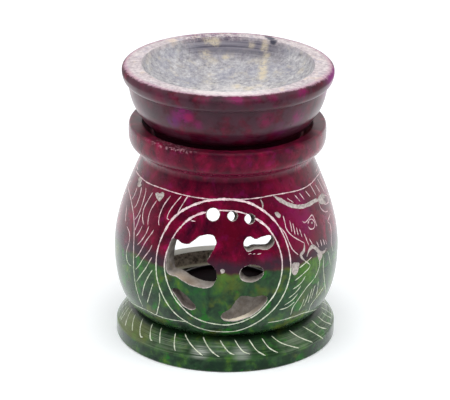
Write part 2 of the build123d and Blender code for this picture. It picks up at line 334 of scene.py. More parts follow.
feather_px = (
    ((128.3, 185.8), (130.5, 197.6), (133.4, 213.9), (134.1, 231.2), (133.6, 251.6), (133.6, 266.9), (135.1, 282.2),
     (139.7, 299.6), (142.8, 306.7)),
    ((137.1, 186.8), (135.1, 193.5), (132, 199.6)), ((141.5, 186.8), (140.2, 194.5), (136.6, 204.7), (133.6, 208.3)),
    ((145.6, 187.9), (145.8, 191.4), (142.8, 202.7), (138.7, 213.9), (134.6, 220)),
    ((152.8, 192.4), (147.9, 200.6), (143.8, 208.8), (142.6, 218), (143.8, 224.6)),
    ((157, 200.1), (150.9, 209.8), (148.4, 218), (147.9, 225.6)),
    ((170.8, 195.5), (164.2, 204.7), (160.1, 213.9), (158.6, 221), (159.1, 225.6)),
    ((181.6, 195.8), (172.8, 206.3), (168.3, 213.9), (167.2, 218.5), (169.3, 219.5)),
    ((188.3, 195.2), (183.2, 203.4), (180.2, 208.3), (177.4, 213.9)), ((190.4, 220.6), (195.6, 221.3)),
    ((248.4, 254.5), (250.4, 253.4), (251.8, 253.6)), ((252.8, 254.3), (255.4, 253.4)),
    ((257, 254.4), (261.2, 253.4)), ((140.5, 214.4), (137.7, 223.1), (134.6, 230.7)),
    ((142.2, 225.6), (139.7, 231.2), (136.1, 236.3)), ((148.9, 226.1), (145.8, 233.8), (140.7, 241.4), (137.1, 245)),
    ((153.5, 229.7), (152.4, 232.2), (145.8, 241.4), (139.7, 252.7), (135.6, 257.8)),
    ((151.9, 245), (149.9, 249.6), (143.8, 257.8), (138.7, 265.9), (135.6, 269.5)),
    ((151.9, 257.2), (145.8, 268), (140.7, 275.1), (136.6, 281.7)),
    ((152.4, 270), (147.9, 277.1), (144.3, 285.3), (142.2, 296)), ((153, 283.3), (149.9, 293.5), (147.3, 302.7)),
    ((159.1, 292.4), (159.6, 301.6), (157, 312.9), (155.5, 314.9)),
    ((126.9, 226.1), (129.5, 233.3), (129, 242.4), (126.4, 251.6), (126.9, 259.8), (129.5, 264.9), (131.5, 265.9)),
    ((126.9, 204.7), (125.9, 214.9), (125.4, 222)),
)
head_px = (
    ((318.7, 202.7), (321.2, 208.8), (325.3, 211.8), (327.9, 210.8)),
    ((321.2, 201.6), (325.3, 204.2), (328.4, 201.6), (327.3, 196.5), (323.8, 195)), ((287, 198.1), (293.7, 202.7)),
    ((294.7, 195), (300.3, 201.6)), ((299.3, 193), (304.4, 199.6)), ((305.4, 190.9), (310.5, 197)),
    ((310, 184.3), (316.1, 195.5)), ((315.1, 184.3), (320.2, 192.4)), ((317.1, 178.2), (324.8, 193)),
    ((319.7, 175.1), (326.3, 190.4)),
    ((277.9, 225.6), (284.5, 232.2), (288.6, 241.4), (292.7, 249.6), (298.3, 254.7)),
    ((283, 215.4), (285, 223.1), (286.5, 229.2), (291.6, 235.3), (297.8, 239.4), (304.4, 243)),
    ((289.6, 220), (292.1, 232.2)), ((292.7, 223.1), (295.2, 234.8)), ((296.2, 227.1), (298.3, 235.3)),
    ((299.3, 228.7), (302.3, 237.3)), ((303.9, 233.3), (309, 245.5)), ((309, 238.4), (312.6, 244.5)),
    ((316.6, 241.4), (319.2, 247.6)), ((320.2, 239.4), (322.2, 246.5)), ((322.8, 238.9), (324.8, 245)),
    ((325.3, 239.4), (326.8, 244.5)),
    ((302.3, 221), (304.9, 222.6), (308.5, 219), (312, 214.9), (314.6, 220), (317.1, 226.6)),
    ((307.9, 224.1), (309.4, 219.8), (312.6, 219.4), (315, 224), (313.4, 228.6), (310, 228.8), (308.2, 226.2)),
    ((319.7, 258.8), (319.2, 266.9), (315.1, 277.1), (305.9, 288.4), (296.7, 301.6), (292.7, 307.8), (290.6, 314.9)),
    ((323.8, 256.7), (323.3, 266.9), (324.3, 280.2), (325.3, 287.3), (325.8, 294.5)),
    ((323.8, 286.3), (317.1, 296.5), (311, 304.7), (308.5, 311.8)), ((312, 256.7), (299.3, 268)),
    ((304.9, 260.8), (310, 265.9), (302.9, 274.1), (294.7, 280.7)), ((305.4, 276.1), (300.8, 283.3), (292.7, 289.4)),
    ((301.3, 285.3), (295.7, 292.4), (288.6, 298.1)), ((297.8, 293.5), (292.7, 299.6), (284.5, 305.2)),
    ((294.7, 301.6), (287.6, 307.2), (279.4, 309.8)), ((318.5, 280.9), (318, 284.9), (316.3, 295.8)),
    ((315.4, 284.9), (313.7, 289.5), (311.1, 298.7)), ((312.2, 288.3), (310.9, 293), (307.9, 303.2)),
    ((308.5, 293.5), (307, 298.5), (303.3, 306.7)), ((304.2, 298.6), (302.5, 303.5), (298.8, 310.7)),
    ((330.4, 213.4), (327.9, 221), (330.4, 225.1), (331.4, 236.3), (331.4, 243.5), (333, 251.6)),
    ((327.9, 251.6), (330.4, 264.9)),
)
bold_px = (
    ((271.7, 194.5), (280.4, 200.1), (290.6, 205.2), (300.8, 206.7), (309, 204.2), (315.1, 200.6), (320.2, 199.6)),
    ((260.5, 199.6), (262.6, 203.7), (262.6, 208.8)), ((304.4, 243), (303.9, 250.6), (300.8, 255.7), (304.9, 260.8)),
    ((306.9, 256.7), (309, 250.6), (312.6, 246.5), (316.1, 248.6), (320.2, 252.7), (324.3, 251.6), (326.3, 247.6)),
)
foot_px = (
    ((126.9, 306.4), (119.8, 318.9)), ((132.8, 308), (125.3, 325.9)), ((135.5, 314.2), (132.3, 331.4)),
    ((143.3, 318.1), (140.2, 335.3), (143.3, 336.9)), ((152.7, 323.6), (150.3, 338.4), (152.7, 340.8)),
    ((161.6, 327.5), (160, 343.9)), ((175.6, 333), (174.5, 347.8), (175.6, 350.9)),
    ((185, 333.8), (192.5, 346.3), (202.7, 355.6)), ((203.1, 336.9), (211.3, 350.9), (219.8, 357.2)),
    ((219.8, 339.7), (228.4, 351.7), (234.7, 354.8)), ((234.7, 339.7), (242.5, 350.9), (250.3, 354.1)),
    ((248.8, 339.2), (256.6, 350.2), (265.6, 355.6)), ((261.7, 338.1), (269.1, 347.8), (278.4, 352.8)),
    ((271.4, 335.8), (281.6, 343.1), (299.5, 348.1)), ((288.6, 329.8), (298.8, 336.9), (312.8, 342.3)),
    ((302.7, 326.3), (312.8, 332.2), (323.3, 339.2)), ((311.6, 320.2), (319.1, 326.7), (326.9, 328.8)),
    ((317.5, 315.8), (323.8, 321.3), (331.6, 324.4)), ((321.4, 311.9), (326.9, 315.8), (331.6, 318.1)),
)

# Round pecked marks: the centre's pixel, and the half width in millimetres
pecked_px = (((222.5, 271.2), 0.8), ((312, 222.8), 0.42))

# Outlines of the chipped patches
patch_px = (
    ((155.4, 193.3), (157.7, 192.4), (159.8, 193.6), (161.7, 191.9), (164, 193), (163.7, 196.3), (161.7, 199),
     (159.5, 201.4), (157.7, 199.9), (156, 196.6)),
    ((291.6, 264.8), (293.6, 262.8), (296.5, 262.5), (299.3, 263.1), (299, 267.1), (297.9, 271.7), (295.9, 274.6),
     (293.6, 274.9), (291.6, 271.7), (292.2, 268.8)),
    ((274.6, 212.8), (277.1, 211.7), (279.1, 213.2), (281, 215.5), (279.4, 218), (277.1, 217), (275.5, 215.2)),
    ((137.4, 177.7), (140, 177.1), (141.9, 180.1), (140.7, 183.4), (141.9, 184.9), (138.5, 187.1), (137.4, 184.1),
     (138.5, 181.1)),
    ((317.6, 199), (319.8, 195.2), (322.8, 193.3), (325.8, 196), (323.9, 199), (325.8, 202.7), (322.1, 204.2),
     (319.1, 202.7)),
    ((317.1, 253.9), (319.4, 253.3), (322.3, 254.8), (321.7, 257.9), (320, 260.8), (318.8, 260.2), (318, 257.4)),
)

turn_segments = 384

# Sizes and places that follow from those above
groove_radius = belly_radius - groove_depth
foot_radius = groove_radius + foot_step
groove_height = foot_side_height + foot_slope_rise
belly_height = groove_height + belly_rise
neck_height = belly_height + shoulder_rise
ring_foot_radius = ring_radius - ring_swell
neck_radius = ring_foot_radius - cove_depth
ring_foot_height = neck_height + cove_rise
ring_height = ring_foot_height + ring_side_rise
ring_top_height = ring_height + ring_shoulder_rise
ring_top_radius = ring_radius - ring_shoulder_run
mouth_radius = ring_top_radius - ring_land
mouth_height = ring_top_height - ring_land_fall
seat_radius = mouth_radius - mouth_run
seat_height = mouth_height - mouth_depth
throat_radius = seat_radius - seat_width
throat_base_height = neck_height - roof_drop
chamber_radius = belly_radius - wall
well_radius = chamber_radius - well_step
well_top_height = floor_thickness + well_depth
panel_height = belly_height + panel_rise
arch_radius = tealight_radius + arch_room
arch_spring_height = neck_height - arch_head_wall - arch_radius
sill_height = well_top_height + sill_rise
spigot_radius = seat_radius - seat_clearance
spigot_top = (spigot_radius, seat_height + spigot_height)
dish_foot = (spigot_radius + dish_flare, spigot_top[1] + dish_flare_rise)
dish_wall = (dish_foot[0] + dish_wall_run, dish_foot[1] + dish_wall_rise)
lip = (dish_wall[0] + lip_overhang, dish_wall[1] + lip_rise)
rim_height = lip[1] + lip_shoulder_rise
rim_outer = (lip[0] - lip_shoulder_run, rim_height)
bowl_edge = (rim_outer[0] - rim_land, rim_height)
bowl_floor_height = rim_height - bowl_depth
heat_recess_radius = spigot_radius - dish_foot_ring
recess_roof_height = seat_height + heat_recess_depth


def curve(start, end, shares, steps):
    """Points along a cubic curve, without its first. Its middle control points are shares of the step it takes."""
    step_out = end[0] - start[0]
    step_up = end[1] - start[1]
    middle = [(start[0] + step_out * out, start[1] + step_up * up) for out, up in shares]
    a, b, c, d = (np.array(point, float) for point in (start, *middle, end))
    points = []
    for step in range(1, steps + 1):
        t = step / steps
        s = 1 - t
        points.append(tuple(s ** 3 * a + 3 * s * s * t * b + 3 * s * t * t * c + t ** 3 * d))
    return points


def straight(start, end, steps):
    """Points along a line, without its first."""
    a = np.array(start, float)
    b = np.array(end, float)
    return [tuple(a + (b - a) * step / steps) for step in range(1, steps + 1)]


def profile(start, *legs):
    """Points of a turned profile. A leg is (end, steps), or (end, shares, steps) where it is curved."""
    points = [start]
    for end, *shares, steps in legs:
        points += curve(points[-1], end, *shares, steps) if shares else straight(points[-1], end, steps)
    return points


def smooth_spans(points, steps_for):
    """Points along a Catmull-Rom curve through all but the first and last, each span cut into its own steps."""
    run = []
    for a, b, c, d in zip(points, points[1:], points[2:], points[3:]):
        steps = steps_for(b, c)
        for t in (step / steps for step in range(steps)):
            run.append(tuple(
                0.5 * (2 * q + (r - p) * t + (2 * p - 5 * q + 4 * r - s) * t * t + (3 * q - p - 3 * r + s) * t ** 3)
                for p, q, r, s in zip(a, b, c, d)
            ))
    return run


def stand(name, vertices, faces, *materials):
    """A new object in the scene, with its mesh and materials."""
    mesh = bpy.data.meshes.new(name)
    mesh.from_pydata([tuple(vertex) for vertex in vertices], [], faces)
    mesh.update()
    piece = bpy.data.objects.new(name, mesh)
    bpy.context.scene.collection.objects.link(piece)
    for finish in materials:
        mesh.materials.append(finish)
    return piece


def tube(around, rings, base=0, closed=False):
    """Quads between rings of vertices. A closed tube also joins its last ring to its first."""
    faces = []
    for ring in range(rings if closed else rings - 1):
        low = base + around * ring
        high = base + around * ((ring + 1) % rings)
        faces += [(low + i, low + (i + 1) % around, high + (i + 1) % around, high + i) for i in range(around)]
    return faces


def capped_tube(around, rings):
    """A tube with a face over each end."""
    last = (rings - 1) * around
    return [*tube(around, rings), list(range(around))[::-1], list(range(last, last + around))]


def lathe(name, points, finish, segments=turn_segments, waves=0, wave_depth=0):
    """A closed turned solid from a profile of (radius, height) that starts and ends on the axis."""
    angles = np.linspace(0, 2 * math.pi, segments, endpoint=False)
    vertices = [(0, 0, points[0][1] * MM)]
    for radius, height in points[1:-1]:
        for angle, swell in zip(angles, 1 + wave_depth * np.cos(waves * angles)):
            reach = radius * MM * swell
            vertices.append((reach * math.cos(angle), reach * math.sin(angle), height * MM))
    vertices.append((0, 0, points[-1][1] * MM))
    rings = len(points) - 2
    last = 1 + (rings - 1) * segments
    pairs = [(i, (i + 1) % segments) for i in range(segments)]
    faces = [(0, 1 + j, 1 + i) for i, j in pairs] + tube(segments, rings, 1)
    faces += [(last + i, last + j, last + segments) for i, j in pairs]
    return stand(name, vertices, faces, finish)


# Camera frame, used for the view and to find what a pixel of the photograph shows
pitch = math.radians(camera_pitch)
roll = math.radians(camera_roll)
level_right = Vector((1, 0, 0))
level_up = Vector((0, math.sin(pitch), math.cos(pitch)))
camera_forward = Vector((0, math.cos(pitch), -math.sin(pitch)))
camera_right = level_right * math.cos(roll) + level_up * math.sin(roll)
camera_up = level_up * math.cos(roll) - level_right * math.sin(roll)
camera_spot = Vector(camera_place)
near_side = camera_spot.length - 2 * belly_radius
far_side = camera_spot.length + 2 * belly_radius
fine_stride = 0.15
fine_strides = 800


def make_camera():
    data = bpy.data.cameras.new("camera")
    data.sensor_fit = "HORIZONTAL"
    data.sensor_width = sensor_width
    data.lens = focal_length
    data.clip_start = 0.05
    data.clip_end = 20
    camera = bpy.data.objects.new("camera", data)
    turn = Matrix((camera_right, camera_up, -camera_forward)).transposed().to_4x4()
    camera.matrix_world = Matrix.Translation(camera_spot * MM) @ turn
    bpy.context.scene.collection.objects.link(camera)
    bpy.context.scene.camera = camera


# Outer profile of the pot, from the centre of the foot up and in to the seat
pot_profile = profile(
    (0, 0),
    ((foot_radius - foot_edge_bevel, 0), 12),
    ((foot_radius, foot_edge_bevel), 2),
    ((foot_radius, foot_side_height), 8),
    ((groove_radius, groove_height), foot_shoulder_shares, 22),
    ((belly_radius, belly_height), lower_belly_shares, 44),
    ((neck_radius, neck_height), upper_belly_shares, 60),
    ((ring_foot_radius, ring_foot_height), cove_shares, 16),
    ((ring_radius, ring_height), ring_side_shares, 16),
    ((ring_top_radius, ring_top_height), ring_shoulder_shares, 12),
    ((mouth_radius, mouth_height), 6),
    ((seat_radius, seat_height), 8),
    ((0, seat_height), 10),
)

# Inner profile, from the well's floor up through the throat
chamber_profile = profile(
    (0, floor_thickness),
    ((well_radius, floor_thickness), 12),
    ((well_radius, well_top_height), 6),
    ((well_radius + ledge_width, well_top_height), 2),
    ((chamber_radius, belly_height), chamber_foot_shares, 20),
    ((throat_radius, throat_base_height), chamber_roof_shares, 30),
    ((throat_radius, seat_height + overrun), 8),
    ((0, seat_height + overrun), 4),
)

# The bowl, from its edge in to the middle
bowl_profile = profile(bowl_edge, ((0, bowl_floor_height), bowl_shares, 150))

# The pot's side, from the foot's edge to the foot of the ring
side_radii, side_heights = np.array([p for p in pot_profile if foot_edge_bevel <= p[1] <= ring_foot_height]).T


def pot_radius(height):
    """Radius of the pot's outside at a height between the foot and the ring."""
    return float(np.interp(height, side_heights, side_radii))


def on_pot(azimuth, height):
    """The point of the pot's outside at an azimuth in radians (0 faces the front) and a height, with its normal."""
    probe = 0.2
    slope = (pot_radius(height + probe) - pot_radius(height - probe)) / (2 * probe)
    outward = Vector((math.sin(azimuth), -math.cos(azimuth), 0))
    normal = (outward - Vector((0, 0, slope))).normalized()
    return outward * pot_radius(height) + Vector((0, 0, height)), normal


def photo_ray(pixel):
    """Direction in which the camera sees a pixel of the photograph."""
    scale = sensor_width / focal_length / photo_width
    across = (pixel[0] - photo_width / 2) * scale
    down = (pixel[1] - photo_height / 2) * scale
    return (camera_forward + camera_right * across - camera_up * down).normalized()


def first_inside(ray, inside, distance, stride, tries):
    """How far along a ray from the camera the first place inside lies, tried a stride at a time."""
    for _ in range(tries):
        if inside(camera_spot + ray * distance):
            break
        distance += stride
    return distance


def from_photo(pixel):
    """Azimuth and height of the point of the pot's outside that a pixel of the photograph shows."""
    ray = photo_ray(pixel)
    strides = 400
    halvings = 18
    stride = (far_side - near_side) / strides

    def in_pot(point):
        return math.hypot(point.x, point.y) < pot_radius(point.z)

    high = first_inside(ray, in_pot, near_side, stride, strides)
    low = high - stride
    for _ in range(halvings):
        middle = (low + high) / 2
        point = camera_spot + ray * middle
        if in_pot(point):
            high = middle
        else:
            low = middle
    return math.atan2(point.x, -point.y), point.z


def pixel_on_pot(pixel):
    return on_pot(*from_photo(pixel))[0]


def to_rim_plane(pixel):
    """A pixel's ray, and how far along it the rim's height lies."""
    ray = photo_ray(pixel)
    return ray, (rim_height - camera_spot.z) / ray.z


def on_rim_plane(pixel):
    """The point at the rim's height that a pixel shows."""
    ray, distance = to_rim_plane(pixel)
    return camera_spot + ray * distance


def on_dish(pixel):
    """The point of the dish's side that a pixel shows."""
    def in_dish(point):
        return math.hypot(point.x, point.y) < np.interp(point.z, (dish_foot[1], lip[1]), (dish_foot[0], lip[0]))

    ray = photo_ray(pixel)
    return camera_spot + ray * first_inside(ray, in_dish, near_side, fine_stride, fine_strides)


def in_bowl(pixel):
    """The point of the bowl that a pixel shows, or of the rim's plane where it misses the bowl."""
    radii, heights = np.array(bowl_profile[::-1]).T

    def in_stone(point):
        reach = math.hypot(point.x, point.y)
        return reach > bowl_edge[0] or point.z < np.interp(reach, radii, heights)

    ray, distance = to_rim_plane(pixel)
    return camera_spot + ray * first_inside(ray, in_stone, distance, fine_stride, fine_strides)


def smooth_run(points, spacing):
    """Points along a smooth curve through (azimuth, height) points, about the spacing apart in millimetres."""
    def steps_for(a, b):
        return max(1, math.ceil(math.hypot((b[0] - a[0]) * belly_radius, b[1] - a[1]) / spacing))

    return [*smooth_spans([points[0], *points, points[-1]], steps_for), points[-1]]


def photo_run(pixels, spacing, closed=False):
    """The same through the places that pixels show."""
    run = [from_photo(pixel) for pixel in pixels]
    return smooth_run([*run, run[0]], spacing)[:-1] if closed else smooth_run(run, spacing)


class Engraving:
    """Collects V-shaped cutters that follow the pot's outside, in layers whose cutters don't touch each other."""

    def __init__(self, finish):
        self.finish = finish
        self.layers = []
        self.steady = random.Random(11)

    def layer_for(self, places):
        """The first layer where the places stay clear of every cutter, as its vertices and faces."""
        spots = np.array([tuple(place) for place in places])
        for layer in self.layers:
            if all(np.min(np.linalg.norm(spots[:, None] - other[None], axis=2)) > cutter_room for other in layer[2]):
                break
        else:
            layer = ([], [], [])
            self.layers.append(layer)
        layer[2].append(spots)
        return layer[0], layer[1]

    def line(self, points, width=line_width, depth=line_depth, closed=False, unsteady=1, taper=1.6):
        """A groove along (azimuth, height) points, drawn to a point at each end unless it is closed."""
        spots = [on_pot(*point) for point in points]
        places = [place for place, _ in spots]
        count = len(places)
        total = sum((b - a).length for a, b in zip(places, places[1:]))
        if total < width and not closed:
            return
        vertices, faces = self.layer_for(places)
        base = len(vertices)
        done = 0
        sway = self.steady.uniform(0, 6)
        for i, (place, normal) in enumerate(spots):
            before = places[i - 1] if closed or i > 0 else place
            after = places[(i + 1) % count] if closed or i < count - 1 else place
            side = (after - before).normalized().cross(normal).normalized()
            if i > 0:
                done += (place - before).length
            near_end = 1 if closed else min(done, total - done) / (taper * width)
            strength = min(1, line_tip_strength + (1 - line_tip_strength) * near_end)
            waver = 0.16 * math.sin(done * 1.3 + sway) + 0.13 * math.sin(done * 3.7 + 2 * sway) - 0.05
            strength *= 1 + unsteady * waver
            reach = width * strength / 2 * (depth + line_lift) / depth
            vertices.append((place + side * reach + normal * line_lift) * MM)
            vertices.append((place - normal * depth * strength) * MM)
            vertices.append((place - side * reach + normal * line_lift) * MM)
        faces += [(a, d, c, b) for a, b, c, d in tube(3, count, base, closed)]
        if not closed:
            last = base + 3 * (count - 1)
            faces += [(base, base + 1, base + 2), (last + 2, last + 1, last)]

    def photographed(self, strokes, width, depth=line_depth, **hand):
        for stroke in strokes:
            self.line(photo_run(stroke, line_spacing), width, depth, **hand)

    def round_mark(self, pixel, half_width, depth):
        """A pecked dimple with a ragged round edge."""
        azimuth, height = from_photo(pixel)
        outline = []
        for i in range(20):
            turn = 2 * math.pi * i / 20
            reach = half_width * (1 + 0.06 * math.sin(3 * turn + height) + 0.05 * math.sin(5 * turn))
            outline.append((azimuth + reach * math.cos(turn) / belly_radius, height + reach * math.sin(turn)))
        self.patch(outline, depth)

    def patch(self, outline, depth):
        """A shallow hollow inside a closed outline of (azimuth, height) points."""
        around = len(outline)
        middle = tuple(sum(point[i] for point in outline) / around for i in (0, 1))
        levels = ((1.1, line_lift), (1, 0), (0.88, -0.65 * depth), (0.5, -0.95 * depth))
        vertices, faces = self.layer_for([on_pot(*point)[0] for point in [*outline, middle]])
        base = len(vertices)
        for share, drop in levels:
            for point in outline:
                place, normal = on_pot(*(m + (p - m) * share for m, p in zip(middle, point)))
                vertices.append((place + normal * drop) * MM)
        faces += [(a, d, c, b) for a, b, c, d in tube(around, len(levels), base)]
        place, normal = on_pot(*middle)
        for ring, drop in ((0, line_lift), (len(levels) - 1, -depth)):
            hub = len(vertices)
            vertices.append((place + normal * drop) * MM)
            rim = base + ring * around
            faces += [(rim + i, rim + (i + 1) % around, hub) for i in range(around)]

    def cutters(self):
        """One object for each layer."""
        return [stand("engraving_cutter", vertices, faces, self.finish) for vertices, faces, _ in self.layers]


def side_ornament(engraving):
    """Feather hatching that carries the front's ornament round the sides to the rear opening."""
    steady = random.Random(7)
    for side in (-1, 1):
        for centre, lean, veined in feathers:
            if veined:
                heights = np.linspace(ornament_foot + 1, ornament_top - 1, 12)
                vein = [(side * math.radians(centre + vein_sway * math.sin(math.pi * i / 11 * 2)), z)
                        for i, z in enumerate(heights)]
                engraving.line(smooth_run(vein, ornament_spacing))
            for level in np.arange(ornament_foot + barb_drop, ornament_top - 1.5, barb_pitch):
                start = level + steady.uniform(-0.5, 0.5)
                drop = barb_drop + steady.uniform(-0.8, 0.8)
                width = barb_spread + steady.uniform(-1.2, 0.8)
                barb = [(side * math.radians(centre - lean * out), start - drop * down)
                        for out, down in ((width, 0), (width * 0.55, 0.35), (barb_root, 1))]
                past_edge = not veined and max(abs(b[0]) for b in barb) > math.radians(ornament_edge)
                if start - drop >= ornament_foot and not past_edge:
                    engraving.line(smooth_run(barb, ornament_spacing))
    engraving.line([(t, ornament_top + 0.35) for t in np.radians(np.linspace(78, 282, 160))])
    for side in (-1, 1):
        engraving.line([(t, ornament_foot - 1) for t in np.radians(np.linspace(78, 146, 60)) * side])
    # Slanting strokes round the rear half of the foot
    for turn in np.arange(84, 278, foot_stroke_pitch):
        azimuth = math.radians(turn + steady.uniform(-1.2, 1.2))
        swing = math.radians(foot_stroke_swing + steady.uniform(-1, 1))
        stroke = [(azimuth + swing * share, z) for share, z in zip((0, 0.5, 1), foot_stroke_heights)]
        engraving.line(smooth_run(stroke, 0.8))


def make_engraving(scratched, pecked):
    engraving = Engraving(scratched)
    pecking = Engraving(pecked)
    for outline in ring_px:
        engraving.line(photo_run(outline, line_spacing, closed=True), circle_width, closed=True)
    for strokes, width in ((arc_px, arc_width), (border_px, line_width), (feather_px, line_width),
                           (head_px, line_width), (foot_px, foot_line_width)):
        engraving.photographed(strokes, width)
    pecking.photographed(bold_px, bold_width, bold_depth, unsteady=0.45, taper=2.6)
    for pixel, half_width in pecked_px:
        pecking.round_mark(pixel, half_width, bold_depth)
    for outline in patch_px:
        pecking.patch(photo_run(outline, patch_spacing, closed=True), bold_depth)
    side_ornament(engraving)
    return engraving.cutters() + pecking.cutters()


def linear(colour):
    """A colour in thousandths as a linear RGBA value."""
    return (*(part / 1000 for part in colour), 1)


class Nodes:
    """Short ways to lay the nodes of a tree."""

    def __init__(self, tree):
        self.tree = tree

    def add(self, kind, inputs=None, **settings):
        """A node with its settings, and links or plain values for its inputs."""
        node = self.tree.nodes.new(kind)
        for key, value in settings.items():
            setattr(node, key, value)
        for key, value in (inputs or {}).items():
            self.feed(node.inputs[key], value)
        return node

    def feed(self, socket, value):
        """Links a socket to another, or sets its plain value."""
        if isinstance(value, bpy.types.NodeSocket):
            self.tree.links.new(value, socket)
        else:
            socket.default_value = linear(value) if socket.type == "RGBA" else value

    def math(self, operation, *values):
        return self.add("ShaderNodeMath", dict(enumerate(values)), operation=operation).outputs[0]

    def vector(self, operation, *values, output="Vector"):
        return self.add("ShaderNodeVectorMath", dict(enumerate(values)), operation=operation).outputs[output]

    def chain(self, operation, value, *others):
        for other in others:
            value = self.math(operation, value, other)
        return value

    def times(self, *values):
        return self.chain("MULTIPLY", *values)

    def most(self, *values):
        return self.chain("MAXIMUM", *values)

    def span(self, value, low, high, bottom=0, top=1):
        """Bottom at low, top at high, eased and held between them."""
        inputs = {"Value": value, "From Min": low, "From Max": high, "To Min": bottom, "To Max": top}
        return self.add("ShaderNodeMapRange", inputs, interpolation_type="SMOOTHSTEP").outputs["Result"]


class Finish(Nodes):
    """A procedural material. Lengths in it are millimetres of the object's frame."""

    def __init__(self, name):
        self.material = bpy.data.materials.new(name)
        self.material.use_nodes = True
        super().__init__(self.material.node_tree)
        self.shader = self.tree.nodes["Principled BSDF"]
        place = self.add("ShaderNodeTexCoord").outputs["Object"]
        self.place = self.add("ShaderNodeVectorMath", {0: place, "Scale": 1 / MM}, operation="SCALE").outputs[0]
        self.x, self.y, self.height = self.add("ShaderNodeSeparateXYZ", {0: self.place}).outputs
        self.radius = self.vector("LENGTH", self.stretched((1, 1, 0)), output="Value")

    def stretched(self, along):
        """The place with each axis scaled, for grain that runs one way."""
        return self.vector("MULTIPLY", self.place, along)

    def noise(self, size, detail=2, rough=0.5, offset=0, place=None, distortion=0):
        """Cloudy noise from 0 to 1 whose features are about the size across."""
        place = place or self.place
        if offset:
            place = self.vector("ADD", place, (offset, offset * 0.7, -offset * 0.4))
        inputs = {"Vector": place, "Scale": 1 / size, "Detail": detail, "Roughness": rough, "Distortion": distortion}
        return self.add("ShaderNodeTexNoise", inputs).outputs[0]

    def patchy(self, size, detail, rough, offset, low, high):
        """Noise cut into patches: 0 where it is at low, 1 where it is at high."""
        return self.span(self.noise(size, detail, rough, offset), low, high)

    def turned(self, size, offset=0):
        """Fine rings left by the lathe, level on the sides and round on the flats."""
        rings = self.add("ShaderNodeCombineXYZ", {0: self.radius, 2: self.height}).outputs[0]
        return self.noise(size, 3, 0.7, offset, self.vector("MULTIPLY_ADD", self.place, (0.015, 0.015, 0), rings))

    def turned_bands(self, size, low, high, offset=0):
        return self.span(self.turned(size, offset), low, high)

    def near(self, point, reach, core=0.2):
        """1 at a point, falling to 0 at the reach from it. The core is the share of the reach that stays 1."""
        return self.span(self.vector("DISTANCE", self.place, point, output="Value"), reach, reach * core)

    def band(self, value, middle, outer, inner):
        """1 within the inner distance of a middle value, falling to 0 at the outer one."""
        return self.span(self.math("ABSOLUTE", self.math("SUBTRACT", value, middle)), outer, inner)

    def ramp(self, value, *stops):
        node = self.add("ShaderNodeValToRGB", {0: value})
        elements = node.color_ramp.elements
        while len(elements) < len(stops):
            elements.new(0.5)
        for element, (position, colour) in zip(elements, stops):
            element.position = position
            element.color = linear(colour)
        return node.outputs[0]

    def mix(self, share, a, b):
        return self.add("ShaderNodeMix", {0: share, 6: a, 7: b}, data_type="RGBA").outputs[2]

    def over(self, colour, patch, *shares):
        """Another colour laid over one, as far as the product of the shares."""
        return self.mix(self.times(*shares), colour, patch)

    def clouded(self, colour, *rows):
        """Patches laid over a colour. A row is patchy noise (six numbers), its strength and its colour."""
        for *patches, strength, patch in rows:
            colour = self.over(colour, patch, self.patchy(*patches), strength)
        return colour

    def spotted(self, colour, spots, find):
        """The colour with patches of its own at given pixels of the pot or dish."""
        for order, (pixel, reach, strength, patch) in enumerate(spots):
            cloudy = self.patchy(3.2, 5, 0.7, 90 + 11 * order, 0.34, 0.58)
            colour = self.over(colour, patch, self.near(find(pixel), reach), cloudy, strength)
        return colour

    def bump(self, *layers):
        """Layers of (height socket, strength, depth), one over another."""
        below = {}
        for height, strength, depth in layers:
            inputs = {"Height": height, "Strength": strength, "Distance": depth * MM, **below}
            below = {"Normal": self.add("ShaderNodeBump", inputs).outputs[0]}
        self.set(**below)

    def set(self, **values):
        for key, value in values.items():
            self.feed(self.shader.inputs[key.replace("_", " ")], value)
        return self.material


def burgundy(f):
    """Deep red dye, clouded with crimson, magenta and near-black."""
    cloud = f.noise(4.6, 5, 0.62, 0, f.stretched((1, 1, 0.72)), 0.4)
    colour = f.ramp(cloud, (0.3, (24, 1.2, 9)), (0.43, (66, 1.2, 13.5)), (0.54, (115, 1.2, 17.5)),
                    (0.64, (190, 1.5, 32)), (0.76, (280, 5, 75)))
    return f.clouded(
        colour,
        (5, 3, 0.6, 41, 0.55, 0.68, 0.38, (200, 2, 80)),
        (11, 4, 0.6, -23, 0.53, 0.72, 0.5, (30, 5, 13)),
        (0.7, 3, 0.7, 0, 0.6, 0.78, 1, (200, 12, 50)),
    )


def green(f):
    """Green dye with yellow and dark patches."""
    cloud = f.noise(4.2, 5, 0.62, 13, f.stretched((1, 1, 0.8)), 0.4)
    colour = f.ramp(cloud, (0.3, (6, 16, 8)), (0.43, (16, 40, 21)), (0.55, (26, 72, 28)),
                    (0.65, (48, 128, 20)), (0.76, (140, 200, 10)))
    return f.clouded(
        colour,
        (8, 3, 0.6, 71, 0.55, 0.7, 0.55, (120, 150, 12)),
        (4.5, 3, 0.6, -57, 0.56, 0.66, 0.7, (9, 155, 7)),
        (10, 4, 0.6, 29, 0.54, 0.72, 0.45, (16, 26, 18)),
    )


